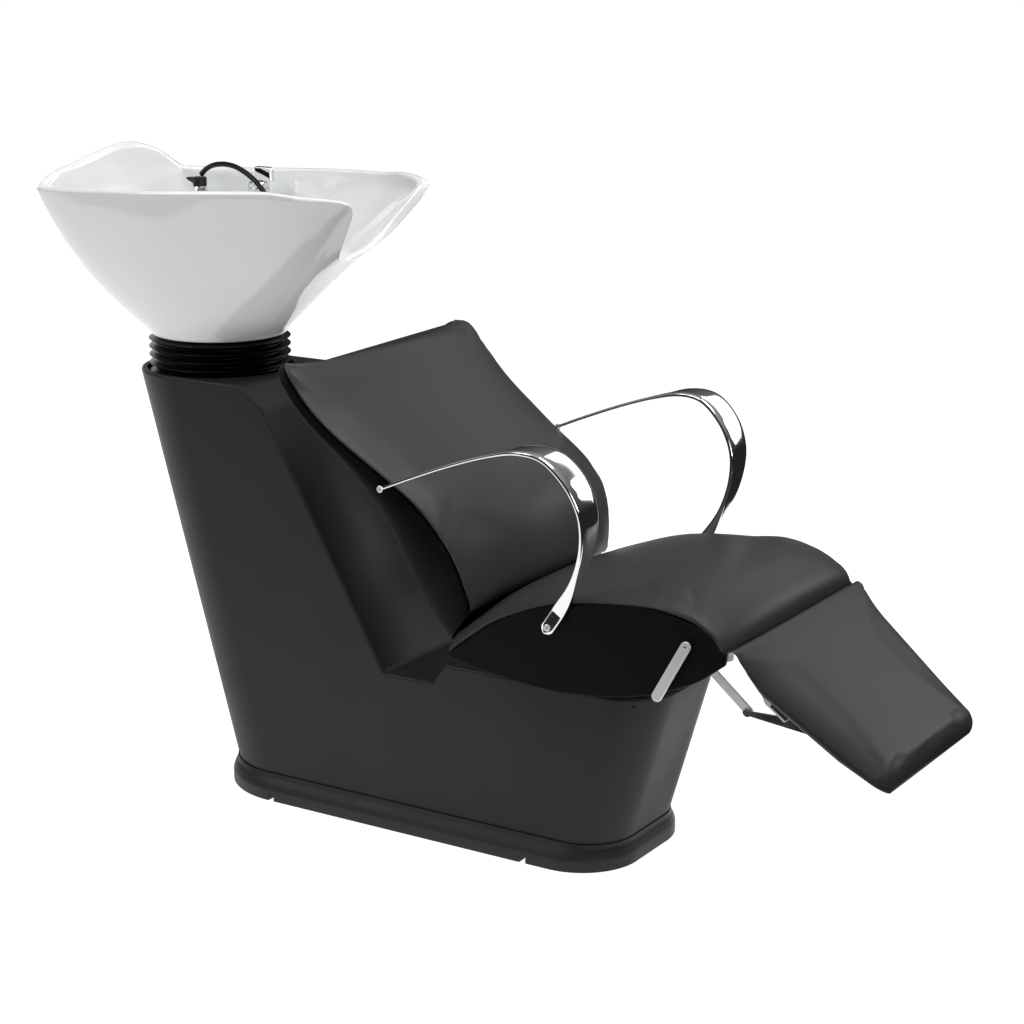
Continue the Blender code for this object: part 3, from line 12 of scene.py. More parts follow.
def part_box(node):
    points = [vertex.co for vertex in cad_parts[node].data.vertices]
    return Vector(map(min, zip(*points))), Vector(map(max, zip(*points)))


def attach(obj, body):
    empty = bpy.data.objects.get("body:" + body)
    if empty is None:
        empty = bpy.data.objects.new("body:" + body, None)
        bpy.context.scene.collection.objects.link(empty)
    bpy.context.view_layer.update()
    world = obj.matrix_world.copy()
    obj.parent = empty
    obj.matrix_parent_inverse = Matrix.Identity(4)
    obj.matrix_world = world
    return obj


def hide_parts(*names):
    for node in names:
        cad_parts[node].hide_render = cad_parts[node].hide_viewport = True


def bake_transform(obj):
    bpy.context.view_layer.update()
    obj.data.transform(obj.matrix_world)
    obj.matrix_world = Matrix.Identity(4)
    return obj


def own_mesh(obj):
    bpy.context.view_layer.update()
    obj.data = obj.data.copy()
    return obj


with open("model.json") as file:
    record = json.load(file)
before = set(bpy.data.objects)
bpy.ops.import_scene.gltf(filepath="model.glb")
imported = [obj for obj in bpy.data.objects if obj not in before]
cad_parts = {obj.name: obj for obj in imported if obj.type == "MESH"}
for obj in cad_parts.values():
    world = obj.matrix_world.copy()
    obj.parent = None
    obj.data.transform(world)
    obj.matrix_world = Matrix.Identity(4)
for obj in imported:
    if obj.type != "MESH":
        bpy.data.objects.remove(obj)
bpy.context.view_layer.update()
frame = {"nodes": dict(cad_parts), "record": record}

bl_info = {
    "name": "Shampoo backwash unit",
    "version": (1, 0, 0),
    "blender": (4, 5, 0),
    "location": "View3D > Sidebar > Backwash",
    "description": "Dresses the packed backwash unit with modelled surfaces and finishes",
    "category": "Object",
}

# Camera of the photo, in the frame's metres and degrees
CAMERA_AT = (2.0588, -3.0541, 1.4421)
CAMERA_TURN = (75.5716, 0.0, 32.2435)
CAMERA_LENS = 83.48
CAMERA_SENSOR = 36.0

# Base; this and all sizes below are in metres
BASE_HALF = 0.130
BASE_REAR = (-0.380, -0.2875)
BASE_FRONT = (0.372, 0.296)
BASE_CORNER = 0.080
BASE_WALL = 0.004
TOWER_TOP = 0.690
MOUTH_R = 0.122
MOUTH_DEEP = 0.008
SCOOP_LAND = 0.012
TOWER_OUTLINE = ((0.090, 0.290), (0.066, 0.256), (-0.026, 0.256), (-0.258, 0.660), (-0.305, 0.690))
TOWER_ROUNDING = (0.006, 0.012, 0.014, 0.060, 0.030)
PLINTH_PROUD = 0.020
PLINTH_TOP = 0.042
NOTCH_X = (-0.245, 0.245)
NOTCH_SIZE = (0.012, 0.010)
WALL_HOLE = (0.4199, 0.2773, 0.0035)

# Bowl
AXIS_X = -0.445
FOOT_Z = 0.746
FOOT_R = 0.1135
FLOOR_Z = 0.800
BOWL_WALL = 0.010
WALL_EASE = 0.003
FOOT_ROUND = 0.004
FULLNESS = (1.9, 0.88)
RIM_RISE = 0.35
NECK_SPREAD = 0.085
HORN_BAND = (0.088, 0.034)
FLAT_R = 0.036
DRAIN_R = 0.026
HORN = (-0.0925, 0.1035, 0.9955)
HORN_LEAN = 0.006
HORN_TURN = 0.03
LOBE_LEAN = 0.0095
LOBE_HALF = 0.160
LOBE_X = -0.64
DECK_TOP = 0.918
DECK_EDGE = 0.014
DECK_X = (-0.632, -0.376)
DECK_Y = (0.092, 0.221)

# Bellows
BELLOWS_R = 0.118
BELLOWS_Z = (0.664, 0.7457)
RIB_WALL = 0.003
RIB_POWER = 1.4

# Taps, in (x, y)
MIXER = (-0.474, 0.152)
MIXER_R = 0.0185
SPRAY = (-0.602, 0.150)
GLAND = (-0.4195, 0.1124)
HOSE_ROUTE = ((-0.5980, 0.1500, 0.98425), (-0.5835, 0.1470, 0.9950), (-0.5620, 0.1420, 1.0030),
              (-0.5350, 0.1370, 1.0062), (-0.5060, 0.1310, 1.0035), (-0.4780, 0.1255, 0.9940),
              (-0.4545, 0.1205, 0.9815), (-0.4365, 0.1163, 0.9675), (-0.4265, 0.1140, 0.9546),
              (-0.4216, 0.1129, 0.9426), (-0.4195, 0.1124, 0.9313))
HOSE_R = 0.0045
LEVER_RISE = 0.025

# Seat, back, armrests and legrest, in (x, z)
SEAT_HALF = 0.216
SEAT_PANEL = 0.012
SEAT_FRONT = (0.45, 0.14)
SEAT_REAR = (0.19, 0.12)
SEAT_FULL = 0.010
SEAT_HELD = 0.004
SEAT_TOP = ((0.149, 0.340), (0.244, 0.409), (0.340, 0.449), (0.480, 0.4675), (0.578, 0.452),
            (0.621, 0.4195))
SEAT_UNDER = ((0.619, 0.402), (0.564, 0.364), (0.470, 0.330), (0.350, 0.3155), (0.240, 0.323),
              (0.160, 0.336))
SEAT_PAD_LINE = ((0.156, 0.345), (0.200, 0.378), (0.244, 0.409), (0.340, 0.449), (0.480, 0.4675),
                 (0.556, 0.4575), (0.592, 0.4405), (0.608, 0.4245), (0.612, 0.411))
BACK_FRONT = ((0.197, 0.412), (0.186, 0.476), (0.167, 0.520), (0.122, 0.570), (0.051, 0.619),
              (-0.041, 0.685), (-0.114, 0.763))
BACK_REAR = ((0.144, 0.356), (0.099, 0.440), (0.058, 0.519), (0.020, 0.570), (-0.031, 0.628),
             (-0.097, 0.691), (-0.138, 0.748))
BACK_HALF = ((0.0, 0.203), (0.10, 0.219), (0.20, 0.231), (0.30, 0.236), (0.50, 0.238), (0.70, 0.250),
             (0.85, 0.257), (1.0, 0.254))
BACK_CORNER = 0.020
BACK_DIP = 0.013
BACK_EAR = 0.008
PAD_THICK = 0.012
PAD_POWER = 12.0
STUFF_FRAMES = 20
ARM_PATH = ((0.061, 0.594), (0.124, 0.621), (0.193, 0.648), (0.259, 0.670), (0.308, 0.681), (0.349, 0.677),
            (0.381, 0.652), (0.401, 0.619), (0.408, 0.582), (0.400, 0.533), (0.376, 0.479), (0.334, 0.415))
ARM_Y = (0.2455, 0.2203)
ARM_TIP = (0.005, 0.011)
ARM_WIDE = (0.010, 0.020, 0.004)
ARM_THICK = (0.003, 0.002, 0.011)
ARM_BEND = (0.55, 0.24)
ARM_TAB = (0.80, 0.16)
HINGE = (0.629, 0.412)
LEG_TILT = math.radians(36.0)
LEG_SPAN = (-0.010, 0.279)
LEG_FACE = (0.0165, 0.009)
LEG_UNDER = ((-0.010, 0.009), (0.0, 0.006), (0.012, -0.004), (0.060, -0.027), (0.200, -0.027),
             (0.279, -0.015))
LEG_HALF = (0.213, 0.172)
LEG_CORNER = 0.028
LEG_BELLY = 0.45
LEG_CROWN = 0.005
LEG_EASE = 0.5
LINK_PIVOT = (0.61772, 0.31142)
LINK_LENGTH = 0.115
LINK_RISE = math.radians(40.0)
LINK_Y = 0.130
LINK_WIDTH = 0.014
LINK_THICK = 0.004
RELEASE = (0.561, 0.423)
RELEASE_LENGTH = 0.093
RELEASE_WIDTH = 0.016
RELEASE_Y = (-0.223, -0.218)
RELEASE_LEAN = math.radians(29.0)

# Studio, in metres and watts: each box's name, place, aim, size, power, roll and spread in degrees
FLOOR_NEAR = (0.552, -0.667, 0.0)
FLOOR_RIGHT = 0.67
FLOOR_SIDE = (-0.350, 0.937, 0.0)
FLOOR_REACH = 12.0
SOFT_BOXES = (
    ("key_box", (-1.8, -2.0, 3.2), (-0.2, 0.0, 0.7), (1.6, 1.6), 40.0, 0.0, 180.0),
    ("top_box", (0.9, 0.1, 3.3), (-0.4, 0.0, 0.8), (1.6, 1.6), 52.0, 0.0, 180.0),
    ("front_box", (2.4, -1.5, 0.9), (-0.4, 0.0, 0.93), (1.2, 1.0), 2.2, 0.0, 40.0),
    ("left_box", (-3.0, 1.6, 1.2), (-0.5, 0.0, 0.9), (1.4, 1.8), 8.0, 0.0, 180.0),
    ("edge_box", (2.3, 3.6, 2.0), (0.6, 0.0, 0.45), (0.9, 1.2), 16.0, 0.0, 180.0),
    ("far_box", (1.2, 3.6, 2.3), (0.4, -0.2, 0.6), (4.0, 1.1), 20.0, 33.0, 180.0),
)

# Edges sharper than this, in degrees, are drawn sharp
SHARP_ANGLE = 38.0
SIDES = (("right", -1.0), ("left", 1.0))
FINISH = {}


def to_linear(code):
    """An sRGB hex colour as linear red, green and blue."""
    share = np.array([int(code[at:at + 2], 16) for at in (1, 3, 5)]) / 255.0
    light = np.where(share <= 0.04045, share / 12.92, ((share + 0.055) / 1.055) ** 2.4)
    return tuple(float(value) for value in light)


# Sizes and colours that a user would change

class BackwashSizes(bpy.types.PropertyGroup):
    """Sizes of the modelled surfaces."""

    rim_roll: FloatProperty(name="Rim roll", description="Width of the bowl's rolled rim",
                            default=0.016, min=0.008, max=0.030, unit="LENGTH")
    neck_roll: FloatProperty(name="Neck roll", description="Width of the rolled lip in the neck notch",
                             default=0.040, min=0.016, max=0.050, unit="LENGTH")
    neck_fall: FloatProperty(name="Neck fall",
                             description="Fall of the neck lip from its edge into the bowl",
                             default=0.018, min=0.0, max=0.030, unit="LENGTH")
    horn_flare: FloatProperty(name="Horn flare",
                              description="Depth of the hollow under each horn of the neck",
                              default=0.004, min=0.0, max=0.018, unit="LENGTH")
    base_edge: FloatProperty(name="Base edge", description="Rounding of the base's outer edges",
                             default=0.006, min=0.002, max=0.012, unit="LENGTH")
    scoop: FloatProperty(name="Tower scoop", description="Depth of the hollow in the tower's front face",
                         default=0.012, min=0.0, max=0.030, unit="LENGTH")
    rib_depth: FloatProperty(name="Rib depth", description="Depth of the sleeve's ribs",
                             default=0.010, min=0.002, max=0.014, unit="LENGTH")
    ribs: IntProperty(name="Ribs", description="Number of ribs on the sleeve", default=6, min=2, max=12)
    seat_crown: FloatProperty(name="Seat crown", description="Rise of the seat pad across its width",
                              default=0.010, min=0.0, max=0.030, unit="LENGTH")
    back_crown: FloatProperty(name="Back crown", description="Rise of the back pad across its width",
                              default=0.022, min=0.0, max=0.030, unit="LENGTH")
    pad_swell: FloatProperty(name="Pad swell", description="Farthest that a stuffed pad may swell",
                             default=0.003, min=0.0, max=0.008, unit="LENGTH")
    pad_pressure: FloatProperty(name="Pad pressure", description="Pressure inside a pad as it is stuffed",
                                default=4.0, min=0.0, max=20.0)


class BackwashColours(bpy.types.PropertyGroup):
    """Colours of the finishes."""

    base: FloatVectorProperty(name="Base", description="Moulded body", subtype="COLOR",
                              default=to_linear("#242525"))
    plinth: FloatVectorProperty(name="Plinth", description="Skirt at the floor", subtype="COLOR",
                                default=to_linear("#282929"))
    grey_vinyl: FloatVectorProperty(name="Grey vinyl", description="Seat, back and legrest pads",
                                    subtype="COLOR", default=to_linear("#363736"))
    black_vinyl: FloatVectorProperty(name="Black vinyl", description="Sides of the seat and back",
                                     subtype="COLOR", default=to_linear("#080808"))
    glaze: FloatVectorProperty(name="Glaze", description="Ceramic bowl", subtype="COLOR",
                               default=to_linear("#eceeed"))
    rubber: FloatVectorProperty(name="Rubber", description="Ribbed sleeve and hose", subtype="COLOR",
                                default=to_linear("#070707"))
    chrome: FloatVectorProperty(name="Chrome", description="Polished metal", subtype="COLOR",
                                default=to_linear("#e6e7e8"))


# Curves and meshes

def smooth_path(points, count, closed=False):
    """A curve through the points by Catmull-Rom cubics, read at equal steps of its length."""
    points = np.asarray(points, float)
    if closed:
        ring = np.vstack([points[-1:], points, points[:2]])
    else:
        ring = np.vstack([2.0 * points[:1] - points[1:2], points, 2.0 * points[-1:] - points[-2:-1]])
    share = np.linspace(0.0, 1.0, 40, endpoint=False)[None, :, None]
    first, second, third, fourth = (ring[at:len(ring) - 3 + at, None, :] for at in range(4))
    curve = 0.5 * (2.0 * second + (third - first) * share
                   + (2.0 * first - 5.0 * second + 4.0 * third - fourth) * share ** 2
                   + (3.0 * second - first - 3.0 * third + fourth) * share ** 3)
    curve = np.vstack([curve.reshape(-1, points.shape[1]), points[:1] if closed else points[-1:]])
    run = np.concatenate([[0.0], np.cumsum(np.linalg.norm(np.diff(curve, axis=0), axis=1))])
    stops = np.linspace(0.0, run[-1], count, endpoint=not closed)
    return np.stack([np.interp(stops, run, column) for column in curve.T], axis=1)


def path_headings(path):
    """Unit directions along a path."""
    along = np.gradient(path, axis=0)
    return along / np.linalg.norm(along, axis=1)[:, None]


def path_normals(path):
    """Unit normals of an (x, z) path, to the left of its direction."""
    along = path_headings(path)
    return np.column_stack([-along[:, 1], along[:, 0]])


def arc(share):
    """Height of a unit circle at a share of its radius from the middle."""
    return np.sqrt(np.clip(1.0 - share ** 2, 0.0, 1.0))


def rounded(points, radius, steps=8):
    """A closed outline with each corner drawn as a quadratic curve between its two tangent points."""
    points = np.asarray(points, float)
    back = np.roll(points, 1, axis=0) - points
    ahead = np.roll(points, -1, axis=0) - points
    back_length = np.linalg.norm(back, axis=1)
    ahead_length = np.linalg.norm(ahead, axis=1)
    back /= back_length[:, None]
    ahead /= ahead_length[:, None]
    half = np.arccos(np.clip((back * ahead).sum(axis=1), -1.0, 1.0)) / 2.0
    reach = np.minimum(np.broadcast_to(radius, half.shape) / np.maximum(np.tan(half), 1e-6),
                       0.48 * np.minimum(back_length, ahead_length))
    share = np.linspace(0.0, 1.0, steps)[None, :, None]
    start = (points + back * reach[:, None])[:, None, :]
    end = (points + ahead * reach[:, None])[:, None, :]
    curve = (1.0 - share) ** 2 * start + 2.0 * share * (1.0 - share) * points[:, None, :] + share ** 2 * end
    return curve.reshape(-1, points.shape[1])


def smooth_step(value, start, run):
    """Nought before start, one after start plus run, and an even turn between them."""
    share = np.clip((value - start) / run, 0.0, 1.0)
    return share * share * (3.0 - 2.0 * share)


def skin(name, rings, wrap=False):
    """A mesh through closed rings in order; the last joins the first if wrap is set, else both get caps."""
    rings = np.asarray(rings, float)
    rows, columns = rings.shape[:2]
    row, column = np.meshgrid(np.arange(rows if wrap else rows - 1), np.arange(columns), indexing="ij")
    below = (row + 1) % rows
    right = (column + 1) % columns
    faces = np.stack([row * columns + column, row * columns + right, below * columns + right,
                      below * columns + column], axis=-1).reshape(-1, 4).tolist()
    if not wrap:
        faces.append(list(range(columns)))
        faces.append(list(range((rows - 1) * columns, rows * columns)))
    mesh = bpy.data.meshes.new(name)
    mesh.from_pydata(rings.reshape(-1, 3).tolist(), [], faces)
    obj = bpy.data.objects.new(name, mesh)
    bpy.context.scene.collection.objects.link(obj)
    clean(obj)
    return obj


def clean(obj):
    """Close seams and poles, turn faces outwards and shade smooth except across sharp edges."""
    work = bmesh.new()
    work.from_mesh(obj.data)
    bmesh.ops.remove_doubles(work, verts=work.verts, dist=1e-5)
    bmesh.ops.recalc_face_normals(work, faces=work.faces)
    work.to_mesh(obj.data)
    work.free()
    obj.data.shade_smooth()
    obj.data.set_sharp_from_angle(angle=math.radians(SHARP_ANGLE))


def turned(name, profile, centre, steps=72):
    """A closed profile of (radius, height) turned about an upright axis through (x, y)."""
    turn = np.linspace(0.0, 2.0 * math.pi, steps, endpoint=False)[:, None]
    radius, height = np.asarray(profile, float).T
    rings = np.stack([centre[0] + radius * np.cos(turn), centre[1] + radius * np.sin(turn),
                      np.broadcast_to(height, (steps, len(height)))], axis=-1)
    return skin(name, rings, wrap=True)


def turned_across(name, profile, centre, sign, steps=32):
    """A closed profile of (radius, distance out) turned about an axis along Y through (x, y, z)."""
    turn = np.linspace(0.0, 2.0 * math.pi, steps, endpoint=False)[:, None]
    radius, out = np.asarray(profile, float).T
    rings = np.stack([centre[0] + radius * np.cos(turn),
                      np.broadcast_to(centre[1] + sign * out, (steps, len(out))),
                      centre[2] + radius * np.sin(turn)], axis=-1)
    return skin(name, rings, wrap=True)


def plate(name, outline, low, high):
    """An (x, z) outline given thickness between two y values."""
    return skin(name, [np.insert(np.asarray(outline, float), 1, y, axis=1) for y in (low, high)])


def bake(obj):
    """Turn an object's modifiers into its mesh."""
    graph = bpy.context.evaluated_depsgraph_get()
    mesh = bpy.data.meshes.new_from_object(obj.evaluated_get(graph), depsgraph=graph)
    obj.modifiers.clear()
    obj.data = mesh


def combine(obj, tool, operation):
    """An exact Boolean of a tool with a piece, after which the tool is gone."""
    boolean = obj.modifiers.new("combine", "BOOLEAN")
    boolean.operation = operation
    boolean.solver = "EXACT"
    boolean.object = tool
    bake(obj)
    bpy.data.objects.remove(tool)
    clean(obj)
    return obj


def add_bevel(obj, width, segments, angle):
    """A bevel on the edges sharper than an angle."""
    bevel = obj.modifiers.new("edge", "BEVEL")
    bevel.width = width
    bevel.segments = segments
    bevel.limit_method = "ANGLE"
    bevel.angle_limit = math.radians(angle)


def soften(obj, width, segments=3):
    """Round a piece's sharp edges, and keep its flat faces flat to the eye."""
    add_bevel(obj, width, segments, SHARP_ANGLE)
    bake(obj)
    clean(obj)
    obj.modifiers.new("shade", "WEIGHTED_NORMAL").keep_sharp = True
    return obj


def settle(obj, slot, body, *nodes):
    """Give a piece its finish and slot, let it ride a body, and let it stand for CAD nodes."""
    obj.data.materials.clear()
    obj.data.materials.append(FINISH[slot])
    if body:
        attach(obj, body)
    if nodes:
        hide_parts(*nodes)
    return obj


def box_rings(low, high):
    """The lower and upper ring of an upright box."""
    corners = np.array([(low[0], low[1]), (high[0], low[1]), (high[0], high[1]), (low[0], high[1])])
    return [np.column_stack([corners, np.full(4, z)]) for z in (low[2], high[2])]


# Finishes. A noise of scale n has patches about 1/n metre across.

def add_node(tree, kind, inputs=None, **settings):
    """Add a shader node with its settings; an input takes a value or another node's output."""
    made = tree.nodes.new("ShaderNode" + kind)
    for key, value in settings.items():
        setattr(made, key, value)
    for key, value in (inputs or {}).items():
        if isinstance(value, bpy.types.NodeSocket):
            tree.links.new(value, made.inputs[key])
        else:
            made.inputs[key].default_value = value
    return made


def start_finish(slot, name, **values):
    """A material for a slot with its Principled shader set; returns its tree, shader and object place."""
    made = bpy.data.materials.new(name)
    made.use_nodes = True
    tree = made.node_tree
    shader = tree.nodes["Principled BSDF"]
    for key, value in values.items():
        shader.inputs[key.replace("_", " ")].default_value = value
    FINISH[slot] = made
    return tree, shader, add_node(tree, "TexCoord").outputs["Object"]


def shade(colour, amount):
    """A colour made darker or lighter by a factor, with an alpha of one."""
    return (*(min(1.0, channel * amount) for channel in colour), 1.0)


def moulded_plastic(slot, name, colour, roughness, grain):
    """Spark-eroded moulded plastic: a fine even grain, and broad faint changes of sheen from handling."""
    # Patches about 170 mm across. The real grain, about 0.1 mm, is drawn 0.9 to 1.6 mm wide to show.
    tree, shader, place = start_finish(slot, name, Specular_IOR_Level=0.25)
    broad = add_node(tree, "TexNoise", {"Vector": place, "Scale": 6.0, "Detail": 3.0}).outputs["Fac"]
    hue = add_node(tree, "Mix", {"Factor": broad, "A": shade(colour, 0.90), "B": shade(colour, 1.10)},
                   data_type="RGBA")
    sheen = add_node(tree, "MapRange", {"Value": broad, "From Min": 0.3, "From Max": 0.7,
                                        "To Min": roughness - 0.06, "To Max": roughness + 0.06})
    fine = add_node(tree, "TexNoise", {"Vector": place, "Scale": 1.0 / grain, "Detail": 2.0}).outputs["Fac"]
    bump = add_node(tree, "Bump", {"Height": fine, "Strength": 0.25, "Distance": 0.0002})
    tree.links.new(hue.outputs["Result"], shader.inputs["Base Color"])
    tree.links.new(sheen.outputs["Result"], shader.inputs["Roughness"])
    tree.links.new(bump.outputs["Normal"], shader.inputs["Normal"])


def stretched_vinyl(slot, name, colour, roughness, pore, gloss):
    """Upholstery vinyl: a leather grain of small raised cells, duller in the creases than on the crowns."""
    # Patches about 110 mm across. The real grain of about 1 mm is drawn at 2.2 mm so that it shows.
    tree, shader, place = start_finish(slot, name, Specular_IOR_Level=gloss)
    broad = add_node(tree, "TexNoise", {"Vector": place, "Scale": 9.0, "Detail": 2.0}).outputs["Fac"]
    hue = add_node(tree, "Mix", {"Factor": broad, "A": shade(colour, 0.94), "B": shade(colour, 1.06)},
                   data_type="RGBA")
    cells = add_node(tree, "TexVoronoi", {"Vector": place, "Scale": 1.0 / pore}, feature="DISTANCE_TO_EDGE")
    near = add_node(tree, "MapRange", {"Value": cells.outputs["Distance"], "From Max": 0.25})
    crease = near.outputs["Result"]
    sheen = add_node(tree, "MapRange", {"Value": crease, "To Min": roughness + 0.08,
                                        "To Max": roughness - 0.04})
    bump = add_node(tree, "Bump", {"Height": crease, "Strength": 0.20, "Distance": 0.0003})
    tree.links.new(hue.outputs["Result"], shader.inputs["Base Color"])
    tree.links.new(sheen.outputs["Result"], shader.inputs["Roughness"])
    tree.links.new(bump.outputs["Normal"], shader.inputs["Normal"])


def glazed_ceramic(colour):
    """Fired glaze: a clear glossy coat that pools in slow waves, about 70 mm apart, over a white body."""
    tree, shader, place = start_finish("white_ceramic", "glazed_vitreous_china", Roughness=0.16,
                                       Coat_Weight=0.6, Coat_Roughness=0.04, IOR=1.52)
    wave = add_node(tree, "TexNoise", {"Vector": place, "Scale": 14.0, "Detail": 1.0}).outputs["Fac"]
    hue = add_node(tree, "Mix", {"Factor": wave, "A": shade(colour, 0.985), "B": shade(colour, 1.01)},
                   data_type="RGBA")
    bump = add_node(tree, "Bump", {"Height": wave, "Strength": 0.10, "Distance": 0.0010})
    tree.links.new(hue.outputs["Result"], shader.inputs["Base Color"])
    tree.links.new(bump.outputs["Normal"], shader.inputs["Coat Normal"])


def plated_metal(slot, name, colour, roughness, spread, metallic=1.0):
    """Plated steel: bright where it is clean, and duller in the 45 mm patches that hands leave."""
    tree, shader, place = start_finish(slot, name, Metallic=metallic)
    smudge = add_node(tree, "TexNoise", {"Vector": place, "Scale": 22.0, "Detail": 4.0}).outputs["Fac"]
    hue = add_node(tree, "Mix", {"Factor": smudge, "A": shade(colour, 0.93), "B": shade(colour, 1.0)},
                   data_type="RGBA")
    sheen = add_node(tree, "MapRange", {"Value": smudge, "From Min": 0.35, "From Max": 0.75,
                                        "To Min": roughness, "To Max": roughness + spread})
    tree.links.new(hue.outputs["Result"], shader.inputs["Base Color"])
    tree.links.new(sheen.outputs["Result"], shader.inputs["Roughness"])


def moulded_rubber(slot, name, colour, roughness):
    """Moulded rubber: dark, slightly glossy, with a pale dusty bloom in patches about 33 mm across."""
    tree, shader, place = start_finish(slot, name, Specular_IOR_Level=0.20)
    bloom = add_node(tree, "TexNoise", {"Vector": place, "Scale": 30.0, "Detail": 4.0}).outputs["Fac"]
    hue = add_node(tree, "Mix", {"Factor": bloom, "A": shade(colour, 0.75), "B": shade(colour, 1.30)},
                   data_type="RGBA")
    sheen = add_node(tree, "MapRange", {"Value": bloom, "To Min": roughness - 0.06,
                                        "To Max": roughness + 0.10})
    tree.links.new(hue.outputs["Result"], shader.inputs["Base Color"])
    tree.links.new(sheen.outputs["Result"], shader.inputs["Roughness"])


def birch_plywood():
    """Birch ply: pale grain drawn out along the board, 17 mm across it and 4 mm through its thickness."""
    tree, shader, place = start_finish("plywood", "birch_plywood", Roughness=0.62)
    long = add_node(tree, "Mapping", {"Vector": place, "Scale": (4.0, 60.0, 250.0)}).outputs["Vector"]
    grain = add_node(tree, "TexNoise", {"Vector": long, "Scale": 1.0, "Detail": 5.0}).outputs["Fac"]
    hue = add_node(tree, "Mix", {"Factor": grain, "A": shade(to_linear("#a88a5e"), 1.0),
                                 "B": shade(to_linear("#d8c198"), 1.0)}, data_type="RGBA")
    tree.links.new(hue.outputs["Result"], shader.inputs["Base Color"])


# Base

def base_plan(z, outset):
    """The base's plan at a height: half a circle behind, and two corner arcs in front, moved out evenly."""
    half = BASE_HALF + outset
    rear = BASE_REAR[0] + BASE_REAR[1] * z - outset
    front = BASE_FRONT[0] + BASE_FRONT[1] * z + outset
    corner = BASE_CORNER + outset
    behind = np.radians(np.linspace(90.0, 270.0, 73))
    right = np.radians(np.linspace(-90.0, 0.0, 25))
    left = np.radians(np.linspace(0.0, 90.0, 25))
    x = np.concatenate([rear + half + half * np.cos(behind), front - corner + corner * np.cos(right),
                        front - corner + corner * np.cos(left)])
    y = np.concatenate([half * np.sin(behind), corner - half + corner * np.sin(right),
                        half - corner + corner * np.sin(left)])
    return np.column_stack([x, y, np.full(len(x), z)])


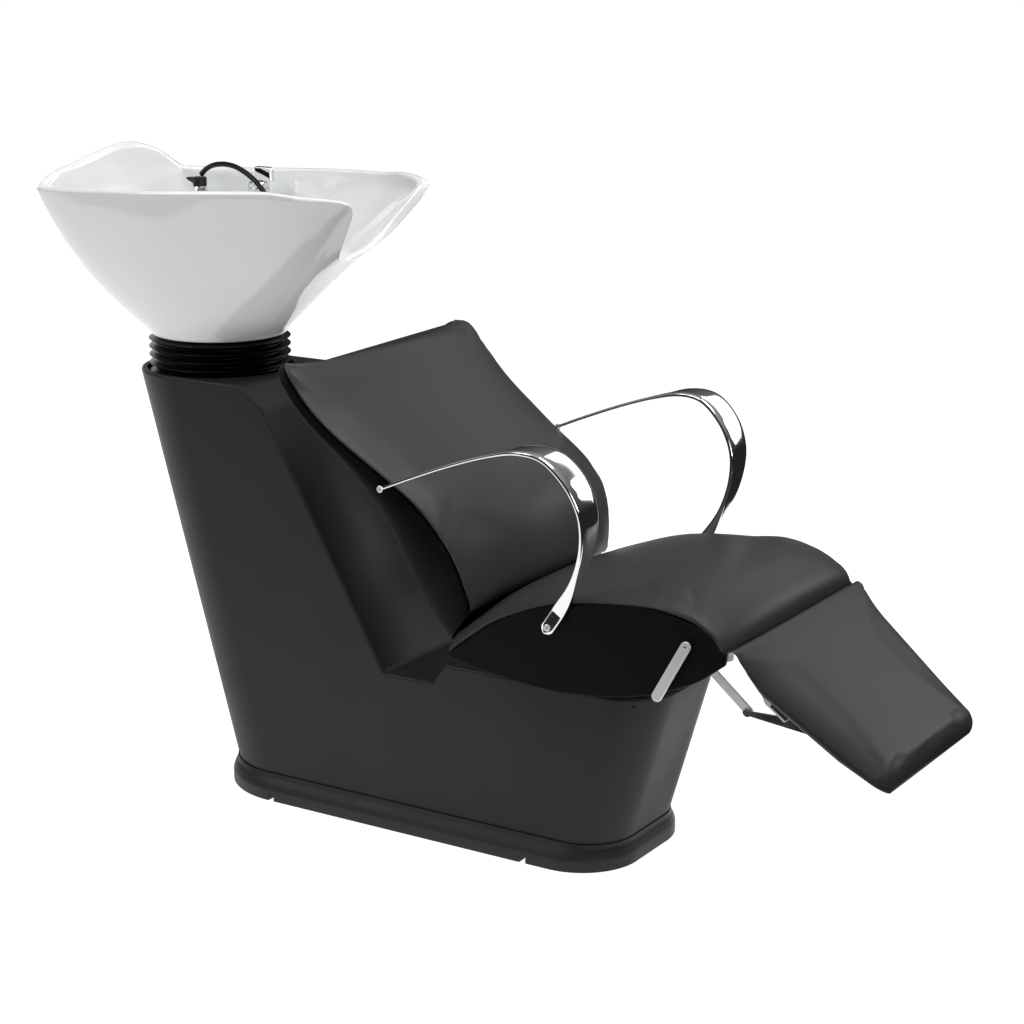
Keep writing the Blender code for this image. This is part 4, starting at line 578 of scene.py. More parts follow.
def build_base(sizes):
    """The walls' loft cut to the side outline; the tower front sinks by scoop times (1 - (y/land)^2)^2."""
    far = 1.0
    corners = np.array([(-far, -far), (far, -far), (far, TOWER_OUTLINE[0][1]), *TOWER_OUTLINE,
                        (-far, TOWER_TOP)])
    radius = np.array([0.0, 0.0, 0.0, *TOWER_ROUNDING, 0.0])
    outline = rounded(corners, radius, 9)
    foot, head = TOWER_OUTLINE[2], TOWER_OUTLINE[3]
    inside = np.abs(outline[:, 0]) < far / 2.0
    climb = np.abs(np.roll(outline, -1, axis=0) - outline)[:, 1] * (inside & np.roll(inside, -1))
    start, end = outline[np.argmax(climb)], outline[np.argmax(climb) + 1]
    between = start + (end - start) * np.linspace(0.0, 1.0, 24, endpoint=False)[1:, None]
    outline = np.insert(outline, np.argmax(climb) + 1, between, axis=0)
    rise = (outline[:, 1] - foot[1]) / (head[1] - foot[1])
    facing = ((outline[:, 0] < foot[0] + 0.004) & (outline[:, 0] > TOWER_OUTLINE[4][0])
              & (outline[:, 1] > foot[1]))
    depth = np.where(facing, np.sin(np.clip(rise, 0.0, 1.0) * math.pi) ** 0.6, 0.0) * sizes.scoop
    slope = np.array([head[1] - foot[1], foot[0] - head[0]])
    inward = -slope / np.linalg.norm(slope)
    land = BASE_HALF - SCOOP_LAND
    across = np.concatenate([[-0.3], np.linspace(-land, land, 33), [0.3]])
    hollow = np.clip(1.0 - (across / land) ** 2, 0.0, 1.0) ** 2
    move = depth[None, :, None] * hollow[:, None, None] * inward
    flat = outline[None, :, :] + move
    rings = np.stack([flat[..., 0], np.broadcast_to(across[:, None], flat.shape[:2]), flat[..., 1]],
                     axis=-1)
    side = skin("base_side", rings)
    body = skin("moulded_base", [base_plan(z, 0.0) for z in (0.0, TOWER_TOP + 0.02)])
    combine(body, side, "INTERSECT")
    work = bmesh.new()
    work.from_mesh(body.data)
    bmesh.ops.dissolve_limit(work, angle_limit=math.radians(0.4), verts=work.verts, edges=work.edges)
    under = [face for face in work.faces if face.calc_center_median().z < 1e-4]
    bmesh.ops.delete(work, geom=under, context="FACES")
    work.to_mesh(body.data)
    work.free()
    add_bevel(body, sizes.base_edge, 4, 40.0)
    wall = body.modifiers.new("wall", "SOLIDIFY")
    wall.thickness = BASE_WALL
    wall.offset = -1.0
    bake(body)
    low, high = TOWER_TOP - MOUTH_DEEP, 0.80
    mouth = turned("mouth", [(0.0, low), (MOUTH_R, low), (MOUTH_R, high), (0.0, high)], (AXIS_X, 0.0), 128)
    combine(body, mouth, "DIFFERENCE")
    body.modifiers.new("shade", "WEIGHTED_NORMAL").keep_sharp = True
    settle(body, "base_plastic", "base", "base_shell")

    profile = [(0.0006, 0.001), (0.0006, PLINTH_TOP - 0.001), (0.0030, PLINTH_TOP),
               (0.0075, PLINTH_TOP - 0.0075), (PLINTH_PROUD * 0.70, PLINTH_TOP - 0.013),
               (PLINTH_PROUD, PLINTH_TOP - 0.022), (PLINTH_PROUD, 0.0), (0.006, 0.0)]
    profile = rounded(profile, [0.0, 0.001, 0.002, 0.010, 0.010, 0.012, 0.0015, 0.001], 6)
    outer = np.clip((profile[:, 0] - 0.001) / (PLINTH_PROUD - 0.001), 0.0, 1.0)
    rings = [base_plan(z * (1.0 - share), outset) * (1.0, 1.0, 0.0) + (0.0, 0.0, z)
             for (outset, z), share in zip(profile, outer)]
    skirt = skin("plinth_skirt", rings, wrap=True)
    for x in NOTCH_X:
        low = (x - NOTCH_SIZE[0] / 2.0, -BASE_HALF - 0.04, -0.01)
        high = (x + NOTCH_SIZE[0] / 2.0, -BASE_HALF + 0.01, NOTCH_SIZE[1])
        combine(skirt, skin("notch", box_rings(low, high)), "DIFFERENCE")
    settle(skirt, "plinth_plastic", "base", "plinth")

    # A black disc stands on the wall where the base has a hole: painted shade, standing in for the dark
    # inside of the hole.
    x, z, radius = WALL_HOLE
    cap = [(0.0, 0.0004), (radius * 0.7, 0.0005), (radius, -0.0006), (radius, -0.006), (0.0, -0.006)]
    hole_shade_disc = turned_across("painted_hole_shade", cap, (0.0, 0.0, 0.0), -1.0)
    turn = math.asin((x - BASE_FRONT[0] - BASE_FRONT[1] * z + BASE_CORNER) / BASE_CORNER)
    wall_y = BASE_CORNER - BASE_HALF - BASE_CORNER * math.cos(turn)
    hole_shade_disc.data.transform(Matrix.Translation((x, wall_y, z)) @ Matrix.Rotation(turn, 4, "Z"))
    settle(hole_shade_disc, "black_plastic", "base")


# Bellows

def build_bellows(sizes):
    """Ribs turned about the bowl's axis: radius falls from its crest by depth times |cos(phase)|^1.4."""
    low, high = BELLOWS_Z
    share = np.linspace(0.0, 1.0, 20 * sizes.ribs + 1)
    phase = np.abs(np.cos(share * sizes.ribs * math.pi)) ** RIB_POWER
    outer = np.column_stack([BELLOWS_R - sizes.rib_depth * phase, low + (high - low) * share])
    inner = outer[::-1] - np.array([RIB_WALL, 0.0])
    sleeve = turned("ribbed_sleeve", np.vstack([outer, inner]), (AXIS_X, 0.0), 128)
    settle(sleeve, "black_rubber", None, "bellows")
    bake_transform(sleeve)


# Bowl

def bowl_rim(count):
    """The rim as a closed curve, leaning up to the tap side by a sine at the lobe and tanh at the horns."""
    half = np.array([(-0.690, 0.0, 1.0385), (-0.6885, 0.050, 1.0362), (-0.6845, 0.0935, 1.0292),
                     (-0.6800, 0.124, 1.0221), (-0.6755, 0.145, 1.0145), (-0.6720, 0.165, 1.0040),
                     (-0.6680, 0.184, 0.9935), (-0.6520, 0.1935, 0.9925), (-0.6100, 0.1985, 0.9930),
                     (-0.545, 0.2010, 0.9953), (-0.430, 0.205, 1.0006), (-0.310, 0.1890, 1.0062),
                     (-0.200, 0.164, 1.0095), (-0.150, 0.1430, 1.0082), (-0.115, 0.1240, 1.0060),
                     (-0.097, 0.1130, 1.0025), HORN, (-0.099, 0.0950, 0.9800), (-0.1160, 0.0840, 0.9560),
                     (-0.1370, 0.0710, 0.9290), (-0.1530, 0.0565, 0.9110), (-0.1640, 0.0400, 0.9010),
                     (-0.1720, 0.0200, 0.8955), (-0.1750, 0.0, 0.8930)])
    other = half[-2:0:-1] * np.array([1.0, -1.0, 1.0])
    rim = smooth_path(np.vstack([half, other]), count, closed=True)
    lobe = (rim[:, 0] < LOBE_X) & (np.abs(rim[:, 1]) < LOBE_HALF)
    rim[:, 2] += np.where(lobe, LOBE_LEAN * np.sin(math.pi * rim[:, 1] / LOBE_HALF), 0.0)
    front = smooth_step(rim[:, 0], -0.22, 0.08)
    rim[:, 2] += HORN_LEAN * np.tanh(rim[:, 1] / HORN_TURN) * front
    return rim


def bowl_shell(sizes, count=360, inward=0.0):
    """A whole bowl's outer wall, radius growing by 1 - (1 - share)^fullness, cut off at the notched rim."""
    rim = bowl_rim(count)
    spread = rim[:, :2] - np.array([AXIS_X, 0.0])
    reach = np.linalg.norm(spread, axis=1)
    heading = spread / reach[:, None]
    neck = np.exp(-(rim[:, 1] / NECK_SPREAD) ** 2) * smooth_step(rim[:, 0], -0.32, 0.10)
    horn = np.exp(-((np.abs(rim[:, 1]) - HORN_BAND[0]) / HORN_BAND[1]) ** 2)
    horn *= smooth_step(rim[:, 0], -0.24, 0.08)
    roll = sizes.rim_roll + (sizes.neck_roll - sizes.rim_roll) * neck
    fullness = FULLNESS[0] - FULLNESS[1] * smooth_step(heading[:, 0], -0.70, 1.50)
    top = rim[:, 2] - sizes.rim_roll * RIM_RISE
    tip = np.argmin(np.abs(rim[:, :2] - np.array(HORN[:2])).sum(axis=1))
    notch = heading[:, 0] > heading[tip, 0]
    # The whole bowl bridges the notch at the horn's height and is smoothed round the rim by a Hann window
    run = count // 12 + 1
    window = np.hanning(2 * run + 1)
    window /= window.sum()
    around = np.arange(-run, count + run) % count
    whole_reach, whole_top = (np.convolve(np.where(notch, value[tip], value)[around], window, "valid")
                              for value in (reach, top))
    foot = FOOT_Z + FOOT_ROUND

    def whole(z):
        share = np.clip((z - foot) / (whole_top - foot), 0.0, 1.0)
        return FOOT_R + (whole_reach - FOOT_R) * (1.0 - (1.0 - share) ** fullness)

    def outer(z):
        share = np.clip((z - foot) / (top - foot), 0.0, 1.0)
        hollow = sizes.horn_flare * horn * np.exp(-((share - 0.86) / 0.09) ** 2)
        return whole(z) + (reach - whole(top)) * share ** 4 - hollow - inward

    height = foot + (top - foot) * np.linspace(0.0, 1.0, 30)[:, None]
    return rim, heading, reach, roll, neck, top, outer, height


def place_rings(heading, radius, height):
    """Rings at a radius along each heading from the bowl's axis, and at a height."""
    flat = np.array([AXIS_X, 0.0]) + heading[None, :, :] * radius[..., None]
    return np.concatenate([flat, np.broadcast_to(height, radius.shape)[..., None]], axis=-1)


def build_bowl(sizes):
    """Outer wall, half-round rim, inner wall by (1 - share^2.6)^(1/1.7) kept inside it, and the drain."""
    rim, heading, reach, roll, neck, top, outer, height = bowl_shell(sizes)
    ones = np.ones(len(rim))
    foot_turn = np.radians(np.linspace(-90.0, 0.0, 6))[:-1, None]
    foot_radius = (FOOT_R - FOOT_ROUND + FOOT_ROUND * np.cos(foot_turn)) * ones
    foot_height = (FOOT_Z + FOOT_ROUND + FOOT_ROUND * np.sin(foot_turn)) * ones
    turn = np.radians(np.linspace(0.0, 180.0, 15))[1:-1, None]
    rim_radius = reach - roll / 2.0 * (1.0 - np.cos(turn))
    drop = sizes.neck_fall * neck
    rim_z = top + sizes.rim_roll * RIM_RISE * np.sin(turn) - drop * ((1.0 - np.cos(turn)) / 2.0) ** 1.5
    inner = reach - roll
    down = np.sin(np.linspace(0.0, 0.5, 40) * math.pi)[:, None]
    inner_radius = FLAT_R + (inner - FLAT_R) * (1.0 - down ** 2.6) ** (1.0 / 1.7)
    inner_z = top - drop + (FLOOR_Z - top + drop) * down
    # The soft minimum of the inner wall and the outer wall less its thickness
    steep, room = inner_radius / WALL_EASE, (outer(inner_z) - BOWL_WALL) / WALL_EASE
    inner_radius = -WALL_EASE * np.logaddexp(-steep, -room)
    drain_radius = np.array([0.030, 0.027, DRAIN_R, DRAIN_R])[:, None] * ones
    drain_z = np.array([FLOOR_Z - 0.0002, FLOOR_Z - 0.001, FLOOR_Z - 0.004, FOOT_Z])[:, None] * ones
    rings = np.concatenate([place_rings(heading, *pair) for pair in (
        (foot_radius, foot_height), (outer(height), height), (rim_radius, rim_z), (inner_radius, inner_z),
        (drain_radius, drain_z))])
    bowl = skin("glazed_bowl", rings, wrap=True)

    edge = [(DECK_Y[0], DECK_TOP - DECK_EDGE), (DECK_Y[1], FLOOR_Z), (DECK_Y[1], DECK_TOP),
            (DECK_Y[0], DECK_TOP)]
    edge = rounded(edge, [0.006, 0.0, 0.0, 0.006], 7)
    deck = skin("tap_deck", [np.insert(edge, 0, x, axis=1) for x in DECK_X])
    _, heading, _, _, _, _, outer, height = bowl_shell(sizes, 120, sizes.rim_roll / 2.0)
    limit = place_rings(heading, outer(height), height)
    limit = np.concatenate([limit, limit[-1:] + np.array([0.0, 0.0, 0.5])])
    combine(deck, skin("deck_limit", limit), "INTERSECT")
    combine(bowl, deck, "UNION")
    settle(bowl, "white_ceramic", "bowl_body", "bowl")


# Taps and hose

def build_taps():
    """Turned chrome bodies with rounded shoulders, the lever, the black collar and spur, and the gland."""
    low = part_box("mixer_body")[0][2]
    body = rounded([(0.0, low), (0.023, low), (0.023, low + 0.003), (MIXER_R, low + 0.004),
                    (MIXER_R, low + 0.051), (0.0, low + 0.051)], [0.0, 0.0005, 0.001, 0.001, 0.0015, 0.0], 6)
    settle(turned("mixer_barrel", body, MIXER), "chrome", "bowl_body", "mixer_body")
    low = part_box("mixer_cap")[0][2]
    cap = rounded([(0.0, low), (MIXER_R, low), (MIXER_R, low + 0.010), (0.0, low + 0.010)],
                  [0.0, 0.0008, 0.004, 0.0], 8)
    settle(turned("mixer_dome", cap, MIXER), "chrome", "mixer_hub", "mixer_cap")
    low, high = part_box("mixer_lever")
    bar = skin("mixer_handle_bar", box_rings(low, (high[0], high[1], low[2] + LEVER_RISE)))
    settle(soften(bar, 0.0030, 4), "chrome", "mixer_handle", "mixer_lever")

    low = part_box("spray_holder")[0][2]
    cup = rounded([(0.0156, low), (0.0186, low), (0.0186, low + 0.016), (0.0156, low + 0.016)], 0.0008, 5)
    settle(turned("spray_cup", cup, SPRAY), "chrome", "bowl_body", "spray_holder")
    low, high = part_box("spray_head")
    head = rounded([(0.0, low[2]), (0.010, low[2]), (0.015, low[2] + 0.006), (0.015, high[2] - 0.008),
                    (0.012, high[2]), (0.0, high[2])], [0.0, 0.002, 0.006, 0.004, 0.001, 0.0], 7)
    settle(turned("spray_barrel", head, SPRAY), "chrome", "hand_spray", "spray_head")
    low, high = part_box("spray_collar")
    collar = rounded([(0.0, low[2]), (0.012, low[2]), (0.012, high[2]), (0.0, high[2])],
                     [0.0, 0.001, 0.003, 0.0], 7)
    collar = turned("spray_grip", collar, SPRAY)
    tip = low[0]
    spur = np.array([(SPRAY[0], high[2] - 0.001), (tip, high[2] - 0.002), (tip, high[2] - 0.005),
                     (SPRAY[0] - 0.008, low[2] + 0.003), (SPRAY[0], low[2] + 0.003)])
    spur = rounded(spur, [0.0, 0.0014, 0.0014, 0.004, 0.0], 6)
    spur = plate("spur", spur, SPRAY[1] - 0.006, SPRAY[1] + 0.006)
    combine(collar, soften(spur, 0.0015), "UNION")
    settle(collar, "black_plastic", "hand_spray", "spray_collar")

    low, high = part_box("hose_gland")
    nut = rounded([(0.0, low[2]), (0.010, low[2]), (0.010, high[2] - 0.004), (0.0065, high[2]),
                   (0.0, high[2])], [0.0, 0.0005, 0.002, 0.001, 0.0], 6)
    settle(turned("gland_nut", nut, GLAND), "chrome", "bowl_body", "hose_gland")


def tube_rings(path, radius, steps=24):
    """Rings square to a path, each with its first side square to the Y axis."""
    along = path_headings(path)
    side = np.cross(along, np.array([0.0, 1.0, 0.0]))
    side /= np.linalg.norm(side, axis=1)[:, None]
    other = np.cross(along, side)
    turn = np.linspace(0.0, 2.0 * math.pi, steps, endpoint=False)
    return (path[:, None, :] + radius * (np.cos(turn)[None, :, None] * side[:, None, :]
                                         + np.sin(turn)[None, :, None] * other[:, None, :]))


def build_hose():
    """The spray's hose as a round tube along the CAD route, bending between the bowl and the hand spray."""
    path = smooth_path(HOSE_ROUTE, 121)
    hose = skin("spray_hose_tube", tube_rings(path, HOSE_R))
    settle(hose, "black_rubber", None, "spray_hose")
    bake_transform(hose)


# Upholstery

def pad_section(half, low, high, crown, power, belly=1.0, steps=61):
    """A pad's sections as (y, h): depth falls by sqrt(1 - |t|^power), with power times belly below."""
    across = np.sin(np.linspace(-0.5, 0.5, steps) * math.pi)
    swell, sag = (np.sqrt(np.clip(1.0 - np.abs(across)[None, :] ** edge[:, None], 0.0, 1.0))
                  for edge in (power, power * belly))
    middle = ((low + high) / 2.0)[:, None]
    deep = ((high - low) / 2.0)[:, None]
    top = middle + (deep + crown[:, None] * (1.0 - across ** 2)) * swell
    under = middle - deep * sag
    y = np.concatenate([across, across[-2:0:-1]])
    return half[:, None] * y[None, :], np.concatenate([top, under[:, -2:0:-1]], axis=1)


def pad_rings(base, normal, section, middle=None, edge=None):
    """Sections stood on an (x, z) line along its normals; the middle and the edges can slide along it."""
    y, h = section
    flat = base[:, None, :] + normal[:, None, :] * h[..., None]
    if middle is not None:
        share = (1.0 - (y / np.abs(y).max(axis=1)[:, None]) ** 2)[..., None]
        flat = flat + share * middle[:, None, :] + (1.0 - share) ** 2 * edge[:, None, :]
    return np.stack([flat[..., 0], y, flat[..., 1]], axis=-1)


def end_round(count, start, end):
    """A pad's depth along its length, rising by a quarter circle at each end over a share of the length."""
    share = np.linspace(0.0, 1.0, count)
    rise = np.ones(count)
    for run, away in ((start, share), (end, 1.0 - share)):
        if run:
            near = np.clip(away / run, 0.0, 1.0)
            rise *= arc(1.0 - near)
    return np.maximum(rise, 0.06)


def stuff(obj, sizes, held, ease=1.0):
    """Cloth under pressure swells a pad from its held points, by no more than ease times the pad swell."""
    scene = bpy.context.scene
    rest = np.empty(len(obj.data.vertices) * 3)
    obj.data.vertices.foreach_get("co", rest)
    rest = rest.reshape(-1, 3)
    group = obj.vertex_groups.new(name="held")
    group.add(np.flatnonzero(held(rest)).tolist(), 1.0, "REPLACE")
    cloth = obj.modifiers.new("stuffing", "CLOTH")
    cloth.settings.use_pressure = True
    cloth.settings.uniform_pressure_force = sizes.pad_pressure
    cloth.settings.vertex_group_mass = group.name
    cloth.settings.effector_weights.gravity = 0.0
    cloth.point_cache.frame_start = 1
    cloth.point_cache.frame_end = STUFF_FRAMES
    for number in range(1, STUFF_FRAMES + 1):
        scene.frame_set(number)
    graph = bpy.context.evaluated_depsgraph_get()
    mesh = obj.evaluated_get(graph).to_mesh()
    moved = np.empty(len(mesh.vertices) * 3)
    mesh.vertices.foreach_get("co", moved)
    obj.evaluated_get(graph).to_mesh_clear()
    step = moved.reshape(-1, 3) - rest
    far = np.maximum(np.linalg.norm(step, axis=1), 1e-9)[:, None]
    limit = sizes.pad_swell * ease
    step *= limit * np.tanh(far / limit) / far
    obj.modifiers.remove(cloth)
    obj.vertex_groups.remove(group)
    scene.frame_set(1)
    obj.data.vertices.foreach_set("co", (rest + step).ravel())
    obj.data.update()


def build_seat(sizes):
    """The seat pad on its side line and round the front edge, and two lens-shaped panels with soft rims."""
    count = 96
    line = smooth_path(SEAT_PAD_LINE, count)
    x = line[:, 0]
    front = smooth_step(x, *SEAT_FRONT)
    rear = 1.0 - smooth_step(x, *SEAT_REAR)
    ends = end_round(count, 0.05, 0.06)
    high = (PAD_THICK + SEAT_FULL * front + SEAT_FULL * rear) * ends
    crown = (sizes.seat_crown + 0.002 * front) * ends
    half, low = np.full(count, SEAT_HALF), np.full(count, -0.006)
    section = pad_section(half, low, high, crown, 14.0 - 8.5 * front)
    normal = path_normals(line)
    pad = skin("seat_pad", pad_rings(line, normal, section))
    fence = line + normal * SEAT_HELD

    def held(at):
        apart = at[:, None, [0, 2]] - line[None, :, :]
        nearest = np.argmin((apart ** 2).sum(axis=2), axis=1)
        return ((at[:, [0, 2]] - fence[nearest]) * normal[nearest]).sum(axis=1) < 0.0

    stuff(pad, sizes, held)
    settle(pad, "grey_vinyl", "base", "seat_cushion")

    top = smooth_path(SEAT_TOP, 81)
    outline = np.vstack([top, smooth_path(SEAT_UNDER, 81)])
    for side, sign in SIDES:
        ys = sorted((sign * (SEAT_HALF - SEAT_PANEL), sign * SEAT_HALF))
        panel = soften(plate(f"seat_panel_{side}", outline, *ys), 0.003, 3)
        settle(panel, "black_vinyl", "base", f"seat_side_{side}")


def build_back(sizes):
    """The back's pad and body: sections between its front and rear lines, wider and dipped at the top."""
    count = 72
    front = smooth_path(BACK_FRONT, count)
    rear = smooth_path(BACK_REAR, count)
    seam = front + path_normals(front) * PAD_THICK
    share = np.linspace(0.0, 1.0, count)
    half = np.interp(share, *smooth_path(BACK_HALF, 200).T)
    past = np.clip((share - 0.94) / 0.06, 0.0, 1.0)
    half = half - BACK_CORNER * (1.0 - arc(past))
    along = path_headings(front)
    slide = (-along * (BACK_DIP * share ** 4)[:, None], along * (BACK_EAR * share ** 6)[:, None])
    ends = end_round(count, 0.05, 0.035)
    nothing = np.zeros(count)
    soft = np.full(count, PAD_POWER)
    section = pad_section(half, nothing, PAD_THICK * ends, sizes.back_crown * ends, soft)
    pad = skin("back_pad", pad_rings(seam, -path_normals(front), section, *slide))
    stuff(pad, sizes, lambda at: np.min(np.abs(at[:, None, 0] - seam[None, :, 0])
                                        + np.abs(at[:, None, 2] - seam[None, :, 1]), axis=1) < 0.006)
    settle(pad, "grey_vinyl", "base", "back_cushion")

    backward = rear - seam
    thick = np.linalg.norm(backward, axis=1)
    backward /= thick[:, None]
    section = pad_section(half - 0.002, nothing + 0.0003, thick, nothing, nothing + 40.0)
    body = skin("back_shell", pad_rings(seam, backward, section, *slide))
    settle(body, "black_vinyl", "base", "back_body")


def leg_point(along, above):
    """Points of the legrest in (x, z): along it from the hinge, and above its hinge line."""
    return np.stack([HINGE[0] + along * math.cos(LEG_TILT) + above * math.sin(LEG_TILT),
                     HINGE[1] - along * math.sin(LEG_TILT) + above * math.cos(LEG_TILT)], axis=-1)


def build_legrest(sizes):
    """The legrest pad: sections narrowing to a rounded end, on a ramp by the hinge."""
    count = 64
    start, end = LEG_SPAN
    along = start + (end - start) * (1.0 - np.cos(np.linspace(0.0, 1.0, count) * math.pi)) / 2.0
    share = np.clip(along / end, 0.0, 1.0)
    half = LEG_HALF[0] + (LEG_HALF[1] - LEG_HALF[0]) * share
    past = np.clip((along - (end - LEG_CORNER)) / LEG_CORNER, 0.0, 1.0)
    half = half - LEG_CORNER * (1.0 - arc(np.minimum(past, 0.985)))
    low = np.interp(along, *np.transpose(LEG_UNDER))
    thin = arc(past * 0.97)
    near = np.clip((along - start) / 0.010, 0.0, 1.0)
    lift = arc(1.0 - near)
    face = LEG_FACE[0] + (LEG_FACE[1] - LEG_FACE[0]) * share
    high = low + (face - low) * np.maximum(thin * lift, 0.10)
    crown = LEG_CROWN * thin * lift
    section = pad_section(half, low, high, crown, np.full(count, PAD_POWER), LEG_BELLY)
    base = leg_point(along, np.zeros(count))
    normal = np.broadcast_to((math.sin(LEG_TILT), math.cos(LEG_TILT)), (count, 2))
    pad = skin("legrest_pad", pad_rings(base, normal, section))

    def held(at):
        above = (at[:, 0] - HINGE[0]) * math.sin(LEG_TILT) + (at[:, 2] - HINGE[1]) * math.cos(LEG_TILT)
        return above < -0.002

    stuff(pad, sizes, held, LEG_EASE)
    settle(pad, "grey_vinyl", "legrest", "legrest_cushion")
    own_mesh(pad)

    along = np.linspace(0.075, end - 0.050, 12)
    half = LEG_HALF[0] + (LEG_HALF[1] - LEG_HALF[0]) * along / end - 0.045
    base = leg_point(along, np.full(len(along), -0.0273))
    under = np.broadcast_to((-math.sin(LEG_TILT), -math.cos(LEG_TILT)), (len(along), 2))
    flat = np.zeros(len(along))
    section = pad_section(half, flat, flat + 0.009, flat, flat + 60.0)
    backing = skin("legrest_backing", pad_rings(base, under, section))
    settle(backing, "black_vinyl", "legrest", "legrest_board")


# Armrests and small metal

def build_screw(name, x, y, z, sign, *nodes):
    """A domed screw head with a socket, facing out along Y."""
    socket = 0.0022
    head = [(0.0, 0.0008), (socket, 0.0008), (socket, 0.0026), (0.0040, 0.0023), (0.0054, 0.0010),
            (0.0055, 0.0), (0.0025, 0.0), (0.0025, -0.014), (0.0, -0.014)]
    screw = turned_across(name, rounded(head, 0.0003, 4), (x, y, z), sign, 40)
    settle(screw, "zinc_steel", "base", *nodes)


def build_armrests():
    """Ribbons on the arm's path: a squared oval section, broad at the bend and a flat upright tab below."""
    path = smooth_path(ARM_PATH, 161)
    first, last = path[0], path[-1]
    step = np.array([0.25, 0.5, 0.72, 0.88, 0.97, 0.998])[:, None]
    before = first + (path[0] - path[2]) / np.linalg.norm(path[0] - path[2]) * ARM_TIP[0] * step[::-1]
    after = last + (path[-1] - path[-3]) / np.linalg.norm(path[-1] - path[-3]) * ARM_TIP[1] * step
    count = len(step)
    share = np.concatenate([np.zeros(count), np.linspace(0.0, 1.0, len(path)), np.ones(count)])
    past = np.concatenate([step[::-1, 0], np.zeros(len(path)), step[:, 0]])
    path = np.vstack([before, path, after])
    normal = path_normals(path)
    tip = arc(past)
    tab = smooth_step(share, *ARM_TAB)
    wide = ARM_WIDE[0] + ARM_WIDE[1] * np.exp(-((share - ARM_BEND[0]) / ARM_BEND[1]) ** 2)
    wide = wide * (1.0 - tab) + ARM_WIDE[2] * tab
    thick = ARM_THICK[0] + ARM_THICK[1] * smooth_step(share, 0.30, 0.20)
    thick = (thick * (1.0 - tab) + ARM_THICK[2] * tab) * tip
    middle = ARM_Y[0] + (ARM_Y[1] - ARM_Y[0]) * np.clip((share - 0.45) / 0.50, 0.0, 1.0)
    turn = np.linspace(0.0, 2.0 * math.pi, 40, endpoint=False)
    flat = np.sign(np.cos(turn)) * np.abs(np.cos(turn)) ** 0.45
    proud = np.sign(np.sin(turn)) * np.abs(np.sin(turn)) ** 0.60
    rise = thick[:, None] * proud[None, :]
    for side, sign in SIDES:
        at = path[:, None, :] + normal[:, None, :] * rise[..., None]
        y = sign * (middle[:, None] + wide[:, None] * flat[None, :])
        arm = skin(f"arm_ribbon_{side}", np.stack([at[..., 0], y, at[..., 1]], axis=-1))
        settle(arm, "chrome", "base", f"armrest_{side}")
        (x, z), (low_x, low_z) = first, last
        build_screw(f"arm_head_upper_{side}", x, sign * (ARM_Y[0] + 0.0103), z, sign,
                    f"arm_screw_upper_{side}")
        build_screw(f"arm_head_lower_{side}", low_x, sign * (ARM_Y[1] + 0.0043), low_z, sign,
                    f"arm_screw_lower_{side}")


def bar_outline(start, end, width, steps=17):
    """Outline of a flat bar with round ends between two (x, z) centres."""
    start, end = np.asarray(start), np.asarray(end)
    heading = math.atan2(end[1] - start[1], end[0] - start[0])
    turn = np.linspace(-0.5, 0.5, steps) * math.pi
    ahead = end + width / 2.0 * np.column_stack([np.cos(turn + heading), np.sin(turn + heading)])
    behind = start - width / 2.0 * np.column_stack([np.cos(turn + heading), np.sin(turn + heading)])
    return np.vstack([ahead, behind])


def build_linkage():
    """The legrest's links and the release lever as flat bars with round ends and softened edges."""
    rear = (LINK_PIVOT[0] - LINK_LENGTH * math.cos(LINK_RISE),
            LINK_PIVOT[1] + LINK_LENGTH * math.sin(LINK_RISE))
    for side, sign in SIDES:
        ys = sorted((sign * (LINK_Y - LINK_THICK / 2.0), sign * (LINK_Y + LINK_THICK / 2.0)))
        link = plate(f"link_bar_{side}", bar_outline(LINK_PIVOT, rear, LINK_WIDTH), *ys)
        pin = turned_across("pin", [(0.0, -0.010), (0.0035, -0.010), (0.0035, 0.001), (0.0, 0.001)],
                            (rear[0], sign * LINK_Y, rear[1]), sign)
        combine(link, pin, "UNION")
        settle(soften(link, 0.0008, 2), "zinc_steel", f"link_{side}", f"legrest_link_{side}")
    tip = (RELEASE[0] - RELEASE_LENGTH * math.sin(RELEASE_LEAN),
           RELEASE[1] - RELEASE_LENGTH * math.cos(RELEASE_LEAN))
    lever = plate("release_bar", bar_outline(RELEASE, tip, RELEASE_WIDTH), *RELEASE_Y)
    hole = turned_across("hole", [(0.0, -0.02), (0.0022, -0.02), (0.0022, 0.02), (0.0, 0.02)],
                         (RELEASE[0], sum(RELEASE_Y) / 2.0, RELEASE[1]), 1.0)
    combine(lever, hole, "DIFFERENCE")
    settle(soften(lever, 0.0016, 4), "zinc_steel", "release", "release_lever")


# Stage

def add_light(name, at, aim, size, power, roll, spread):
    """A soft box at a place, facing another, turned about its own axis and spreading by degrees."""
    light = bpy.data.lights.new(name, "AREA")
    light.shape = "RECTANGLE"
    light.size, light.size_y = size
    light.energy = power
    light.spread = math.radians(spread)
    obj = bpy.data.objects.new(name, light)
    obj.location = at
    facing = (Vector(aim) - Vector(at)).to_track_quat("-Z", "Y")
    obj.rotation_euler = (facing @ Quaternion((0.0, 0.0, 1.0), math.radians(roll))).to_euler()
    bpy.context.scene.collection.objects.link(obj)


